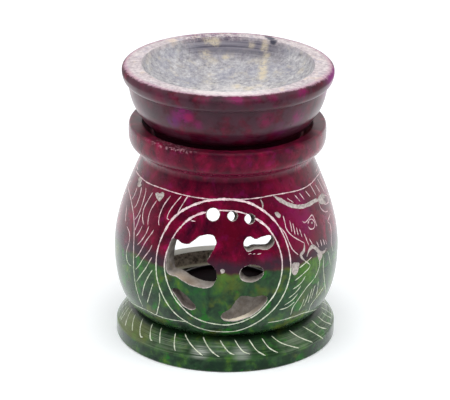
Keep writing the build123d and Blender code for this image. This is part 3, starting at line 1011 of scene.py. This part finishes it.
def dyed_pot_finish():
    """Both dyes and the dusk between them, waxed to a clear sheen, and dull where they are worn."""
    f = Finish("dyed_soapstone")
    level = f.math("MULTIPLY_ADD", f.math("SUBTRACT", f.noise(9, 6, 0.68, 3), 0.5), 5, f.height)
    share = f.span(level, dye_border_height - 1, dye_border_height + 1.1)
    colour = f.mix(share, f.spotted(green(f), green_spots, pixel_on_pot),
                   f.spotted(burgundy(f), red_spots, pixel_on_pot))
    under = f.span(level, dye_border_height - 0.6, dye_border_height + 0.8)
    above = f.span(level, dye_border_height + 6, dye_border_height + 1.8)
    colour = f.over(colour, (30, 15, 26), under, above, f.patchy(6, 4, 0.6, 52, 0.22, 0.44), 0.9)
    # Painted shade: a clear dark crimson in the crease under the ring, and a dark groove over the foot
    crease = f.band(f.height, ring_foot_height, 2.2, 0.9)
    colour = f.over(colour, (118, 2, 24), crease, 0.85)
    colour = f.over(colour, (3, 9, 3), f.band(f.height, groove_height + 0.4, 2.6, 0.7), 0.82)
    # Turning marks on the foot's slope: painted sheen as grey streaks, darker streaks along the rings, and painted
    # highlights where the lamp's reflection falls
    slope = f.times(f.span(f.height, foot_side_height - 0.4, foot_side_height + 0.8),
                    f.span(f.height, groove_height - 0.6, groove_height - 1.8))
    on_slope = foot_side_height + 1.6
    front_right = f.near((13, -37.5, on_slope), 17, 0.55)
    # Painted sheen: grey streaks over the slope, fewer at the front right
    colour = f.over(colour, (220, 260, 190), slope, f.turned_bands(0.9, 0.42, 0.6),
                    f.patchy(8, 4, 0.6, 83, 0.36, 0.6), f.math("MULTIPLY_ADD", front_right, -0.8, 1), 0.45)
    colour = f.over(colour, (60, 130, 22), slope, 0.12)
    colour = f.over(colour, (8, 26, 9), slope, f.turned_bands(0.8, 0.5, 0.62, 5),
                    f.patchy(9, 3, 0.6, -94, 0.4, 0.56), 0.7)
    colour = f.over(colour, (130, 150, 35), slope, f.near((-31, -14, foot_side_height), 17, 0.35), 0.55)
    # Painted highlight: two glints near the front of the slope
    painted_glint = f.most(f.near((-8.6, -36.2, on_slope), 4.5, 0.1), f.near((5.6, -36.6, on_slope), 4.5, 0.1))
    colour = f.over(colour, (450, 480, 430), slope, painted_glint, f.turned_bands(0.45, 0.36, 0.56), 0.62)
    # Painted highlight: a pale patch of sheen at the front right of the slope
    colour = f.over(colour, (260, 320, 220), slope, f.near((24, -28.5, on_slope), 9, 0.3),
                    f.turned_bands(0.6, 0.4, 0.6), 0.35)
    foot_side = f.span(f.height, foot_side_height + 0.2, foot_side_height - 0.8)
    colour = f.over(colour, (6, 20, 11), foot_side, f.patchy(7, 4, 0.6, -66, 0.62, 0.42), 0.85)
    # Pale wear along the ring's upper edge and the foot's edge
    colour = f.over(colour, (420, 220, 260), f.patchy(0.9, 4, 0.7, 17, 0.52, 0.6),
                    f.band(f.height, ring_top_height - 0.5, 1, 0.2),
                    f.near((-21, -28, ring_top_height - 1), 15), 0.8)
    colour = f.over(colour, (620, 600, 520), f.patchy(1.3, 3, 0.6, 31, 0.63, 0.7), f.span(f.height, 0.9, 0.1))
    # Painted light: a brighter, clear crimson on the mouth's right side under the dish
    mouth = f.times(f.span(f.radius, mouth_radius + 0.2, mouth_radius - 0.4),
                    f.span(f.height, seat_height - 1, seat_height))
    painted_light_in_mouth = f.near((mouth_radius - 3, -11, mouth_height - 1.5), 15, 0.35)
    colour = f.over(colour, (300, 3, 24), mouth, painted_light_in_mouth, 0.8)

    sides = f.span(f.math("ABSOLUTE", f.x), 22, 31)
    crest = f.times(f.band(f.height, ring_top_height, 1.6, 0.4), f.math("MULTIPLY_ADD", sides, -0.4, 1))
    scored = f.times(slope, f.turned_bands(0.7, 0.6, 0.42), 0.85)
    rough = f.math("MULTIPLY_ADD", f.noise(9, 3, 0.6, 5), 0.12, 0.21)
    calm = f.math("SUBTRACT", 1, crease)
    f.bump(
        (f.times(f.turned(0.55), calm), 0.22, 0.035),
        (f.times(f.noise(1.6), calm), 0.12, 0.04),
        (f.times(f.noise(7), calm), 0.1, 0.1),
    )
    return f.set(
        Base_Color=colour, Roughness=f.most(rough, f.times(f.most(mouth, crest, scored), 0.62)), IOR=1.5,
        Specular_Tint=(140,) * 3, Specular_IOR_Level=f.math("MULTIPLY_ADD", f.times(front_right, slope), -0.34, 0.5),
    )


def raw_stone_finish():
    """Undyed soapstone where a tool cut it: grey-brown and chattered, with painted light on faces that look up and
    painted shade in the pockets.
    """
    f = Finish("cut_soapstone")
    colour = f.ramp(f.noise(2.4, 5, 0.65, 9), (0.28, (100, 85, 72)), (0.45, (210, 185, 165)),
                    (0.6, (310, 280, 255)), (0.78, (460, 430, 400)))
    colour = f.clouded(
        colour,
        (0.5, 3, 0.7, 0, 0.58, 0.72, 0.6, (50, 42, 36)),
        (5, 3, 0.6, -15, 0.56, 0.72, 0.35, (340, 250, 150)),
    )
    # Painted light: faces that look up are paler, most on the sawn sill and along the tongue's lower edge
    facing = f.add("ShaderNodeNewGeometry").outputs["Normal"]
    upward = f.span(f.add("ShaderNodeSeparateXYZ", {0: facing}).outputs["Z"], 0.45, 0.9)
    colour = f.over(colour, (550, 490, 440), upward, 0.3)
    colour = f.over(colour, (860, 840, 760), f.span(f.y, 4, 8),
                    f.span(f.height, sill_height + 0.6, sill_height + 0.2), 0.85)
    # Painted shade darkens the tongue pocket, and painted light makes its upward faces paler
    tongue = f.near((6.5, -37.5, panel_height - 14.5), 12, 0.7)
    colour = f.over(colour, (100, 80, 60), tongue, 0.45)
    colour = f.over(colour, (560, 470, 360), tongue, upward, 0.5)
    colour = f.over(colour, (950, 860, 700), upward, f.near(pixel_on_pot(tongue_edge_painted_light_px), 7), 0.8)
    colour = f.over(colour, (520, 360, 200), f.near(pixel_on_pot(rust_px), 7), 0.4)
    # Painted shade in the slit pocket
    colour = f.over(colour, (60, 38, 32), f.near((-14.5, -35.5, panel_height - 11), 7.5, 0.75), 0.62)
    f.bump((f.noise(0.45, 4, 0.7), 0.55, 0.1), (f.noise(1.8, 3, 0.6), 0.5, 0.25))
    return f.set(Base_Color=colour, Roughness=0.82, Specular_Tint=(500,) * 3)


def chamber_finish():
    """Inside of the pot: dark raw stone with pale speckles up to the sill, painted light along the ledge and painted
    shade low in the well.
    """
    f = Finish("chamber_soapstone_painted_light_and_shade")
    colour = f.ramp(f.noise(3, 5, 0.65, 2), (0.3, (60, 46, 38)), (0.5, (150, 120, 100)),
                    (0.72, (270, 235, 205)))
    patches = f.ramp(f.noise(1.5, 5, 0.7, 27), (0.36, (220, 170, 130)), (0.52, (660, 550, 450)),
                     (0.66, (960, 860, 740)))
    colour = f.over(colour, patches, f.span(f.height, sill_height + 4, sill_height + 0.5))
    # Painted light along the ledge, and painted shade below it, low in the well
    colour = f.over(colour, (950, 900, 720), f.span(f.height, well_top_height + 0.35, well_top_height + 0.15))
    colour = f.over(colour, (8, 6, 5), f.span(f.height, well_top_height - 0.05, well_top_height - 0.3), 0.9)
    f.bump((f.turned(0.8), 0.5, 0.12), (f.noise(1.2, 4, 0.6), 0.5, 0.15))
    return f.set(Base_Color=colour, Roughness=0.85, Specular_Tint=(400,) * 3)


def scratch_finish():
    """Bare stone powder in the engraved lines, tinged where dye has bled into it."""
    f = Finish("engraved_soapstone")
    colour = f.ramp(f.noise(1.2, 4, 0.65, 6), (0.34, (360, 310, 300)), (0.46, (760, 720, 700)),
                    (0.66, (950, 930, 900)))
    above = f.span(f.height, dye_border_height - 2, dye_border_height + 2)
    bled = f.math("MULTIPLY_ADD", f.patchy(6, 3, 0.6, -8, 0.5, 0.7), 0.35, 0.45)
    colour = f.over(colour, f.mix(above, (620, 740, 500), (760, 500, 560)), bled)
    f.bump((f.noise(0.35, 3, 0.7), 0.5, 0.06), (f.noise(1, 3, 0.6), 0.3, 0.1))
    return f.set(Base_Color=colour, Roughness=0.8, Specular_Tint=(500,) * 3)


def pecked_finish():
    """Stone bruised by a point, where patches were chipped off the dye."""
    f = Finish("pecked_soapstone")
    colour = f.ramp(f.noise(1, 5, 0.7, 19), (0.32, (190, 160, 150)), (0.48, (440, 390, 370)),
                    (0.66, (640, 580, 550)))
    f.bump((f.noise(0.4, 4, 0.7), 0.7, 0.09), (f.noise(1.3, 3, 0.6), 0.4, 0.12))
    return f.set(Base_Color=colour, Roughness=0.82, Specular_Tint=(500,) * 3)


def bowl_colour(f):
    """Bare grey stone, clouded and finely speckled, with oil stains."""
    cloud = f.noise(2, 8, 0.78)
    bowl = f.ramp(cloud, (0.34, (200, 190, 215)), (0.45, (340, 330, 350)), (0.55, (460, 450, 465)),
                  (0.67, (700, 690, 680)))
    bowl = f.clouded(
        bowl,
        (0.55, 3, 0.7, 33, 0.57, 0.72, 0.45, (150, 150, 200)),
        (0.8, 3, 0.7, -19, 0.58, 0.72, 0.55, (820, 820, 820)),
        (7, 4, 0.6, 12, 0.42, 0.65, 0.35, (260, 270, 360)),
        (4, 5, 0.7, -31, 0.54, 0.66, 0.45, (600, 540, 430)),
    )
    front = f.most(*(f.near(in_bowl(pixel), reach) for pixel, reach in bowl_front_px))
    bowl = f.over(bowl, (840, 790, 750), front, f.span(cloud, 0.38, 0.56), 0.5)
    # The bank at the back and right keeps slate-blue turning rings
    banked = f.ramp(f.turned(0.6), (0.35, (50, 45, 70)), (0.5, (110, 100, 135)), (0.64, (250, 235, 270)))
    bowl = f.over(bowl, banked, f.span(f.height, bowl_floor_height + 2, rim_height - 3),
                  f.near((3, 33, rim_height - 3), 27, 0.45), 0.92)
    for pixel, reach, strength in ochre_spots_px:
        ragged = f.patchy(1.4, 5, 0.75, reach, 0.36, 0.54)
        bowl = f.over(bowl, (700, 600, 410), f.near(in_bowl(pixel), reach, 0.15), ragged, strength)
    return bowl


def rim_colour(f):
    """Paler bare stone on the rim, peach and bluish by turns."""
    grain = f.noise(1.5, 7, 0.75, 4)
    rim = f.ramp(grain, (0.34, (330, 270, 300)), (0.47, (530, 460, 480)), (0.64, (750, 690, 680)))
    rim = f.over(rim, (860, 800, 780), f.near((2, -32, rim_height), 20, 0.3), 0.5)
    rim = f.clouded(
        rim,
        (5, 4, 0.65, -44, 0.56, 0.67, 0.55, (740, 600, 460)),
        (4.5, 4, 0.65, 61, 0.55, 0.68, 0.5, (340, 330, 460)),
    )
    mauve = f.near((-7, 34, rim_height), 15, 0.5)
    return f.over(rim, (170, 105, 165), mauve, f.span(grain, 0.6, 0.42), 0.85)


def uneven(f, value, size, detail, rough, offset, reach):
    """A value that noise moves up and down by as much as half the reach."""
    return f.math("MULTIPLY_ADD", f.math("SUBTRACT", f.noise(size, detail, rough, offset), 0.5), reach, value)


def dish_finish():
    """One stone: dyed and polished outside, bare and speckled on the rim and in the bowl."""
    f = Finish("dish_soapstone")
    # Rim and bowl meet in a worn, uneven line
    on_rim = f.span(uneven(f, f.radius, 2.2, 5, 0.7, 7, 1.6), bowl_edge[0] - 0.7, bowl_edge[0] + 0.6)
    bare = f.mix(on_rim, bowl_colour(f), rim_colour(f))
    chip = f.most(*(f.near(on_rim_plane(pixel), 1.9, 0.5) for pixel in chip_px))
    bare = f.over(bare, (35, 38, 65), chip, f.patchy(1.2, 5, 0.7, 8, 0.26, 0.38), 0.9)
    # Dye fades out over the lip's shoulder
    inside = f.times(f.span(f.radius, bowl_edge[0] + 0.9, bowl_edge[0] + 0.6),
                     f.span(f.height, bowl_floor_height - 0.8, bowl_floor_height - 0.6))
    sideways = f.math("POWER", f.math("DIVIDE", f.math("ABSOLUTE", f.x), lip[0]), 2)
    frayed = f.math("MULTIPLY_ADD", sideways, -1.5, uneven(f, f.radius, 1.8, 6, 0.78, -3, 2.6))
    on_top = f.span(f.height, lip[1] + 0.2, lip[1] + 0.8)
    raw = f.most(inside, f.times(f.span(frayed, rim_outer[0] + 1.5, rim_outer[0] + 0.5), on_top))
    blush = f.span(frayed, rim_outer[0] - 0.9, rim_outer[0] + 1)
    bare = f.over(bare, (400, 130, 250), blush, on_top, 0.55)
    # Dyed outside, with painted shade low down, above the ring
    dyed = f.over(burgundy(f), (16, 1, 6), 0.45)
    dyed = f.clouded(dyed, (6, 5, 0.65, 64, 0.6, 0.44, 0.72, (60, 22, 36)))
    dyed = f.spotted(dyed, dish_spots, on_dish)
    # Painted shade over the lower wall, where the dish sits in the ring
    dyed = f.over(dyed, (16, 0.6, 4), f.span(f.height, ring_top_height + 5.5, ring_top_height + 0.5), 0.78)
    dyed = f.over(dyed, (230, 6, 170), f.near((rim_outer[0] + 2.5, -7, rim_height - 1.5), 11, 0.25), 0.7)

    rough = f.math("MULTIPLY_ADD", f.noise(9, 3, 0.6, 5), 0.12, 0.24)
    dull = f.most(raw, f.band(f.height, lip[1] + 0.6, 2.2, 0.8))
    f.bump(
        (f.turned(0.55), 0.3, 0.04),
        (f.noise(0.5, 4, 0.7), 0.22, 0.05),
        (f.noise(1.9, 4, 0.6), 0.28, 0.08),
    )
    return f.set(Base_Color=f.mix(raw, dyed, bare), Roughness=f.most(rough, f.times(dull, 0.66)), IOR=1.5,
                 Specular_Tint=(260,) * 3)


def cup_finish():
    f = Finish("spun_aluminium")
    colour = f.ramp(f.noise(3, 4, 0.6), (0.3, (400, 400, 420)), (0.7, (580, 580, 600)))
    cup_top = floor_thickness + tealight_height
    # Painted shade: the cup's upper part, up to the rim, is near black
    colour = f.over(colour, (20, 17, 16), f.span(f.height, cup_top - 3.5, cup_top - 1.2), 0.93)
    rough = f.math("MULTIPLY_ADD", f.noise(1.4, 4, 0.7, 3), 0.25, 0.34)
    f.bump((f.turned(0.3), 0.25, 0.03), (f.noise(2.5, 3, 0.6), 0.25, 0.08))
    return f.set(Base_Color=colour, Roughness=rough, Metallic=1)


def wax_finish():
    f = Finish("near_black_wax_painted_shade")
    cloud = f.noise(2.6, 5, 0.65)
    # Painted shade: the wax is near black, as the shade inside the chamber
    colour = f.ramp(cloud, (0.32, (6, 1.2, 2)), (0.52, (10, 1.8, 4)), (0.74, (20, 4, 9)))
    colour = f.clouded(colour, (5.5, 4, 0.6, 14, 0.54, 0.74, 0.25, (30, 9, 12)))
    f.bump((f.noise(0.6, 4, 0.6), 0.3, 0.05), (f.noise(3.5, 3, 0.5), 0.5, 0.2))
    return f.set(Base_Color=colour, Roughness=f.ramp(cloud, (0.3, (600,) * 3), (0.7, (750,) * 3)),
                 Subsurface_Weight=0.2, Subsurface_Radius=(0.002, 0.0008, 0.001), Specular_IOR_Level=0.02)


def wick_finish():
    f = Finish("waxed_cotton")
    tip = floor_thickness + cup_wall + wax_fill + wick_rise
    fibre = f.noise(0.22, 4, 0.7, 0, f.stretched((1, 1, 0.5)))
    colour = f.ramp(fibre, (0.3, (420, 380, 320)), (0.7, (780, 740, 660)))
    colour = f.over(colour, (200, 60, 100), f.span(f.height, tip - 2.6, tip - 4.2), 0.6)
    burnt = f.span(f.math("ADD", f.height, f.noise(0.8, 3, 0.6)), tip - 1.2, tip - 0.2)
    f.bump((fibre, 0.6, 0.05), (f.noise(0.12, 3, 0.7), 0.5, 0.03))
    return f.set(Base_Color=f.over(colour, (14, 12, 11), burnt), Roughness=0.85, Sheen_Weight=0.3)


def tin_finish():
    f = Finish("tinned_steel")
    colour = f.ramp(f.noise(1.5, 4, 0.6), (0.3, (500, 500, 510)), (0.7, (700, 700, 700)))
    rough = f.math("MULTIPLY_ADD", f.noise(0.9, 4, 0.7), 0.25, 0.25)
    f.bump((f.noise(0.5, 4, 0.6), 0.35, 0.04), (f.turned(0.4), 0.2, 0.02))
    return f.set(Base_Color=colour, Roughness=rough, Metallic=1)


cut_stone = raw_stone_finish()
pecked_stone = pecked_finish()


def centre_of(shares):
    """Middle of an outline's width and height, in shares."""
    return tuple((min(values) + max(values)) / 2 for values in zip(*shares))


def closed_outline(shares):
    """A smooth closed outline in millimetres about its own centre, from its few shares."""
    centre = centre_of(shares)
    corners = [((u - centre[0]) * panel_radius, (v - centre[1]) * panel_radius) for u, v in shares]
    return smooth_spans([corners[-1], *corners, *corners[:2]], lambda a, b: 8)


def oval_outline(half_width, half_height, steps):
    turns = [2 * math.pi * i / steps for i in range(steps)]
    return [(half_width * math.cos(t), half_height * math.sin(t)) for t in turns]


def to_skin(spot, along):
    """How far a spot must go along a direction to reach the pot's outside."""
    distance = 0
    for _ in range(12):
        place = spot + along * distance
        reach = math.hypot(place.x, place.y)
        distance += (pot_radius(place.z) - reach) / max(0.5, (along.x * place.x + along.y * place.y) / reach)
    return distance


def outline_sides(outline):
    """Outward normals of a closed outline that runs counterclockwise or clockwise."""
    area = sum(a[0] * b[1] - b[0] * a[1] for a, b in zip(outline, outline[1:] + outline[:1]))
    sides = []
    for before, after in zip(outline[-1:] + outline[:-1], outline[1:] + outline[:1]):
        side = Vector((after[1] - before[1], before[0] - after[0])).normalized()
        sides.append(side if area > 0 else -side)
    return sides


def panel_cutter(outline, centre_share, turn, tilt, square=False, pocket=False):
    """A hand-cut opening or pocket: an outline on the pot's skin carried inward, its worn edge flaring."""
    azimuth = math.radians(panel_azimuth) + centre_share[0] * panel_radius / belly_radius
    outward = Vector((math.sin(azimuth), -math.cos(azimuth), 0))
    sideways = Vector((math.cos(azimuth), math.sin(azimuth), 0))
    level = panel_height + centre_share[1] * panel_radius
    turn, tilt = math.radians(turn), math.radians(tilt)
    along = Vector((math.sin(turn) * math.cos(tilt), -math.cos(turn) * math.cos(tilt), math.sin(tilt)))
    upward = Vector((0, 0, 1))
    if square:
        sideways = (sideways - along * sideways.dot(along)).normalized()
        upward = sideways.cross(-along)
    centre = outward * pot_radius(level) + Vector((0, 0, level))
    depth = pocket_depth if pocket else cut_reach
    inner = [-depth * share for share in (1, 0.8, 0.6, 0.4, 0.22)]
    layers = [(drop, 0) for drop in inner] + [(-edge_depth, 0), (edge_lift, full_flare), (overrun, full_flare)]
    sided = list(zip(outline, outline_sides(outline)))
    vertices = []
    for layer, (drop, flare) in enumerate(layers):
        for i, ((across, up), side) in enumerate(sided):
            chatter = 0.07 * math.sin(1.9 * i + 2.3 * layer) + 0.05 * math.sin(0.7 * i - 1.1 * layer)
            share = 0.55 + 0.45 * math.sin(0.31 * i + 1.7) * math.sin(0.13 * i)
            out = side * (chatter + edge_flare * (flare * share - edge_shrink))
            spot = centre + sideways * (across + out.x) + upward * (up + out.y)
            skin = to_skin(spot, along)
            if pocket and layer < len(inner):
                out = out * (0 if layer else 1)
                floor = centre - along * depth + sideways * (across + out.x) + upward * (up + out.y)
                place = floor.lerp(spot + along * (skin - edge_depth), layer / len(inner))
            else:
                place = spot + along * (skin + drop)
            vertices.append(tuple(place * MM))
    count = len(outline)
    piece = stand("panel_cutter", vertices, capped_tube(count, len(layers)), cut_stone, pecked_stone)
    for polygon in piece.data.polygons[len(inner) * count:(len(inner) + 1) * count]:
        polygon.material_index = 1
    return piece


def arch_cutter():
    """The rear opening: a level sill, straight sides and a half-round head."""
    turns = [math.pi * i / 40 for i in range(41)]
    outline = [(arch_radius, sill_height)]
    outline += [(arch_radius * math.cos(t), arch_spring_height + arch_radius * math.sin(t)) for t in turns]
    outline += [(x, sill_height) for x in np.linspace(-arch_radius, arch_radius, 24)[:-1]]
    depths = np.linspace(0, belly_radius + overrun, 40)
    vertices = [(x * MM, depth * MM, z * MM) for depth in depths for x, z in outline]
    faces = [face[::-1] for face in capped_tube(len(outline), len(depths))]
    return stand("arch_cutter", vertices, faces, cut_stone)


def carve(piece, cutters):
    """Takes the cutters out of the piece, giving the cut faces the cutters' finishes, and removes the cutters."""
    for cutter in cutters:
        work = bmesh.new()
        work.from_mesh(cutter.data)
        bmesh.ops.recalc_face_normals(work, faces=work.faces)
        work.to_mesh(cutter.data)
        work.free()
        cutter.data.update()
        step = piece.modifiers.new(cutter.name, "BOOLEAN")
        step.operation = "DIFFERENCE"
        step.object = cutter
        step.solver = "MANIFOLD"
        step.material_mode = "TRANSFER"
    bpy.context.view_layer.update()
    carved = bpy.data.meshes.new_from_object(piece.evaluated_get(bpy.context.evaluated_depsgraph_get()))
    piece.modifiers.clear()
    piece.data = carved
    for cutter in cutters:
        bpy.data.objects.remove(cutter)


def smooth_turned(piece, sharp_angle=32):
    """Smooth shading, with a crease wherever two finishes or two steep faces meet."""
    mesh = piece.data
    mesh.shade_smooth()
    mesh.set_sharp_from_angle(angle=math.radians(sharp_angle))
    finish_of = np.empty(len(mesh.polygons), int)
    mesh.polygons.foreach_get("material_index", finish_of)
    loop_edges = np.empty(len(mesh.loops), int)
    mesh.loops.foreach_get("edge_index", loop_edges)
    loop_faces = np.repeat(np.arange(len(mesh.polygons)), [p.loop_total for p in mesh.polygons])
    low = np.full(len(mesh.edges), 99)
    high = np.full(len(mesh.edges), -1)
    np.minimum.at(low, loop_edges, finish_of[loop_faces])
    np.maximum.at(high, loop_edges, finish_of[loop_faces])
    sharp = mesh.attributes.get("sharp_edge") or mesh.attributes.new("sharp_edge", "BOOLEAN", "EDGE")
    flags = np.empty(len(mesh.edges), bool)
    sharp.data.foreach_get("value", flags)
    flags |= low != high
    sharp.data.foreach_set("value", flags)
    mesh.update()


def make_pot():
    """The pot: turned outside, bored inside, then pierced and engraved."""
    pot = lathe("pot_stone", pot_profile, dyed_pot_finish())
    cutters = [lathe("bore_cutter", chamber_profile, chamber_finish()), arch_cutter()]
    for share, radius, turn in zip(star_hole_shares, star_hole_radii, star_hole_turns):
        cutters.append(panel_cutter(oval_outline(radius, radius, 40), share, turn, drill_tilt, square=True))
    oval = oval_outline(oval_half_width, oval_half_height, 48)
    cutters.append(panel_cutter(oval, oval_centre_share, oval_turn, oval_tilt))
    for shares, turn, tilt in ((leaf_outline_shares, leaf_turn, leaf_tilt), (bow_outline_shares, bow_turn, bow_tilt)):
        cutters.append(panel_cutter(closed_outline(shares), centre_of(shares), turn, tilt))
    for shares in (slit_outline_shares, tongue_outline_shares):
        centre = centre_of(shares)
        turn = panel_azimuth + math.degrees(centre[0] * panel_radius / belly_radius)
        cutters.append(panel_cutter(closed_outline(shares), centre, turn, pocket_tilt, pocket=True))
    carve(pot, cutters + make_engraving(scratch_finish(), pecked_stone))
    smooth_turned(pot)
    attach(pot, "pot")
    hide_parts("burner_body")


def make_dish():
    """The dish, from the axis under its floor, out round the lip and back down the hand-finished bowl."""
    points = profile(
        (0, recess_roof_height),
        ((heat_recess_radius, recess_roof_height), 8),
        ((heat_recess_radius, seat_height), 4),
        ((spigot_radius, seat_height), 4),
        (spigot_top, 4),
        (dish_foot, dish_underside_shares, 16),
        (dish_wall, dish_wall_shares, 30),
        (lip, lip_underside_shares, 16),
        (rim_outer, lip_shoulder_shares, 16),
        (bowl_edge, 10),
    )
    for radius, height in bowl_profile[1:-1]:
        ripple = sum(depth * math.sin(radius * rate + start) for depth, rate, start in bowl_ripples)
        fade = min(1, radius / ripple_centre_fade, max(0, (bowl_edge[0] - radius) / ripple_rim_fade))
        points.append((radius, height + ripple * fade))
    dish = lathe("dish_stone", [*points, (0, bowl_floor_height)], dish_finish())
    smooth_turned(dish)
    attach(dish, "dish")
    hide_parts("oil_dish")


def make_tealight():
    """A fluted aluminium cup with a rolled rim, the cast wax with its meniscus, and the braided wick."""
    base = floor_thickness
    top = base + tealight_height
    side = tealight_radius - bead_tuck
    bead_centre = tealight_radius - rim_bead
    cup_floor = base + cup_wall
    points = profile(
        (0, base + cup_base_hollow),
        ((tealight_radius - cup_base_edge, base + cup_base_hollow), 8),
        ((tealight_radius - cup_base_land, base), cup_base_shares, 6),
        ((side, base + cup_base_rise), cup_heel_shares, 6),
        ((side, top - rim_drop), 10),
    )
    for i in range(13):
        turn = -math.pi / 2 + 1.5 * math.pi * i / 12
        points.append((bead_centre + rim_bead * math.cos(turn), top - rim_bead + rim_bead * math.sin(turn)))
    inner = tealight_radius - cup_wall
    points += profile(points[-1], ((inner - cup_draft, cup_floor), 10), ((0, cup_floor), 10))[1:]
    cup = lathe("cup_foil", points, cup_finish(), 240, flutes, flute_depth)
    smooth_turned(cup)
    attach(cup, "tealight")
    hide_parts("tealight_cup")

    wax_radius = inner - wax_gap
    wax_floor = cup_floor + wax_float
    wax_top = cup_floor + wax_fill
    wax = lathe("wax_fill", profile(
        (0, wax_floor),
        ((wax_radius, wax_floor), 8),
        ((wax_radius, wax_top + meniscus), 8),
        ((wax_radius - meniscus_run, wax_top - wax_dip), meniscus_shares, 8),
        ((wax_mound_radius, wax_top - wax_dip), 16),
        ((wick_radius, wax_top + wick_collar), wax_mound_shares, 8),
        ((0, wax_top + wax_mound), 2),
    ), wax_finish(), 120)
    smooth_turned(wax)
    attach(wax, "tealight")
    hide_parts("tealight_wax")

    rings = 60
    around = 18
    length = wax_top + wick_rise - (wax_floor + wick_root)
    vertices = []
    for share in (level / rings for level in range(rings + 1)):
        height = wax_floor + wick_root + length * share
        lean = wick_lean * max(0, share - wick_lean_start) ** 2
        for turn in (2 * math.pi * k / around for k in range(around)):
            strand = abs(math.cos(wick_strands * (turn - share * wick_twist) / 2))
            bulge = 1 - wick_valley + wick_valley * strand
            reach = wick_radius * bulge * (1 - wick_tip_taper * max(0, share - wick_tip_start) / wick_tip_share)
            vertices.append(((reach * math.cos(turn) + lean) * MM, reach * math.sin(turn) * MM, height * MM))
    braid = stand("wick_braid", vertices, capped_tube(around, rings + 1), wick_finish())
    smooth_turned(braid, 50)
    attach(braid, "tealight")
    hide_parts("wick")

    tin = tin_finish()
    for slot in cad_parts["wick_sustainer"].material_slots:
        slot.material = tin


def make_floor():
    """A white sweep that keeps the object's shadow, with painted light behind the object and a painted shadow in a
    ring round the foot.
    """
    finish = bpy.data.materials.new("white_sweep")
    finish.use_nodes = True
    finish.node_tree.nodes.clear()
    n = Nodes(finish.node_tree)
    rays = n.add("ShaderNodeLightPath").outputs
    direct = n.most(rays["Is Camera Ray"], rays["Is Glossy Ray"], rays["Is Transmission Ray"])
    place = n.add("ShaderNodeTexCoord").outputs["Object"]
    # Painted light behind the object, and a painted shadow in a ring round the foot
    behind = n.span(n.add("ShaderNodeSeparateXYZ", {0: place}).outputs["Y"], *floor_painted_light_zone,
                    floor_glow, floor_glow + floor_painted_light_behind)
    around = n.span(n.vector("LENGTH", place, output="Value"), *floor_painted_shadow_zone, floor_painted_shadow, 0)
    glow = n.times(direct, n.math("ADD", behind, around))
    strength = n.math("MULTIPLY_ADD", rays["Is Glossy Ray"], floor_sheen, glow)
    diffuse = n.add("ShaderNodeBsdfDiffuse", {"Color": floor_colour}).outputs[0]
    light = n.add("ShaderNodeEmission", {"Color": white, "Strength": strength}).outputs[0]
    surface = n.add("ShaderNodeAddShader", {0: diffuse, 1: light}).outputs[0]
    n.add("ShaderNodeOutputMaterial", {"Surface": surface})
    corners = [(x * floor_half, y * floor_half, 0) for x, y in ((-1, -1), (1, -1), (1, 1), (-1, 1))]
    floor = stand("floor", corners, [(0, 1, 2, 3)], finish)


def make_world():
    """White to the camera. Reflections find a white room behind the object and a dim one before it."""
    world = bpy.data.worlds.new("studio")
    bpy.context.scene.world = world
    world.use_nodes = True
    world.node_tree.nodes.clear()
    n = Nodes(world.node_tree)
    rays = n.add("ShaderNodeLightPath").outputs
    place = n.add("ShaderNodeTexCoord").outputs["Generated"]
    depth = n.add("ShaderNodeSeparateXYZ", {0: place}).outputs["Y"]
    room = n.span(depth, *room_zone, dim_room, bright_room)
    strength = ambient
    for ray, seen in (("Is Glossy Ray", room), ("Is Transmission Ray", 1), ("Is Camera Ray", 1)):
        strength = n.add("ShaderNodeMix", {0: rays[ray], 2: strength, 3: seen}).outputs[0]
    background = n.add("ShaderNodeBackground", {"Color": white, "Strength": strength}).outputs[0]
    n.add("ShaderNodeOutputWorld", {"Surface": background})


def make_lamps():
    """Area lamps that aim at the object's middle. One shows only in reflections, the others only as soft light."""
    for name, place, width, height, power, for_gloss in lamps:
        data = bpy.data.lights.new(name, "AREA")
        data.shape = "RECTANGLE"
        data.size = width
        data.size_y = height
        data.energy = power
        lamp = bpy.data.objects.new(name, data)
        lamp.location = place
        lamp.rotation_euler = (Vector(lamp_target) - Vector(place)).to_track_quat("-Z", "Y").to_euler()
        lamp.visible_glossy = for_gloss
        lamp.visible_diffuse = not for_gloss
        bpy.context.scene.collection.objects.link(lamp)


make_camera()
make_floor()
make_world()
make_lamps()
make_pot()
make_dish()
make_tealight()

bpy.context.scene.view_settings.view_transform = "Standard"
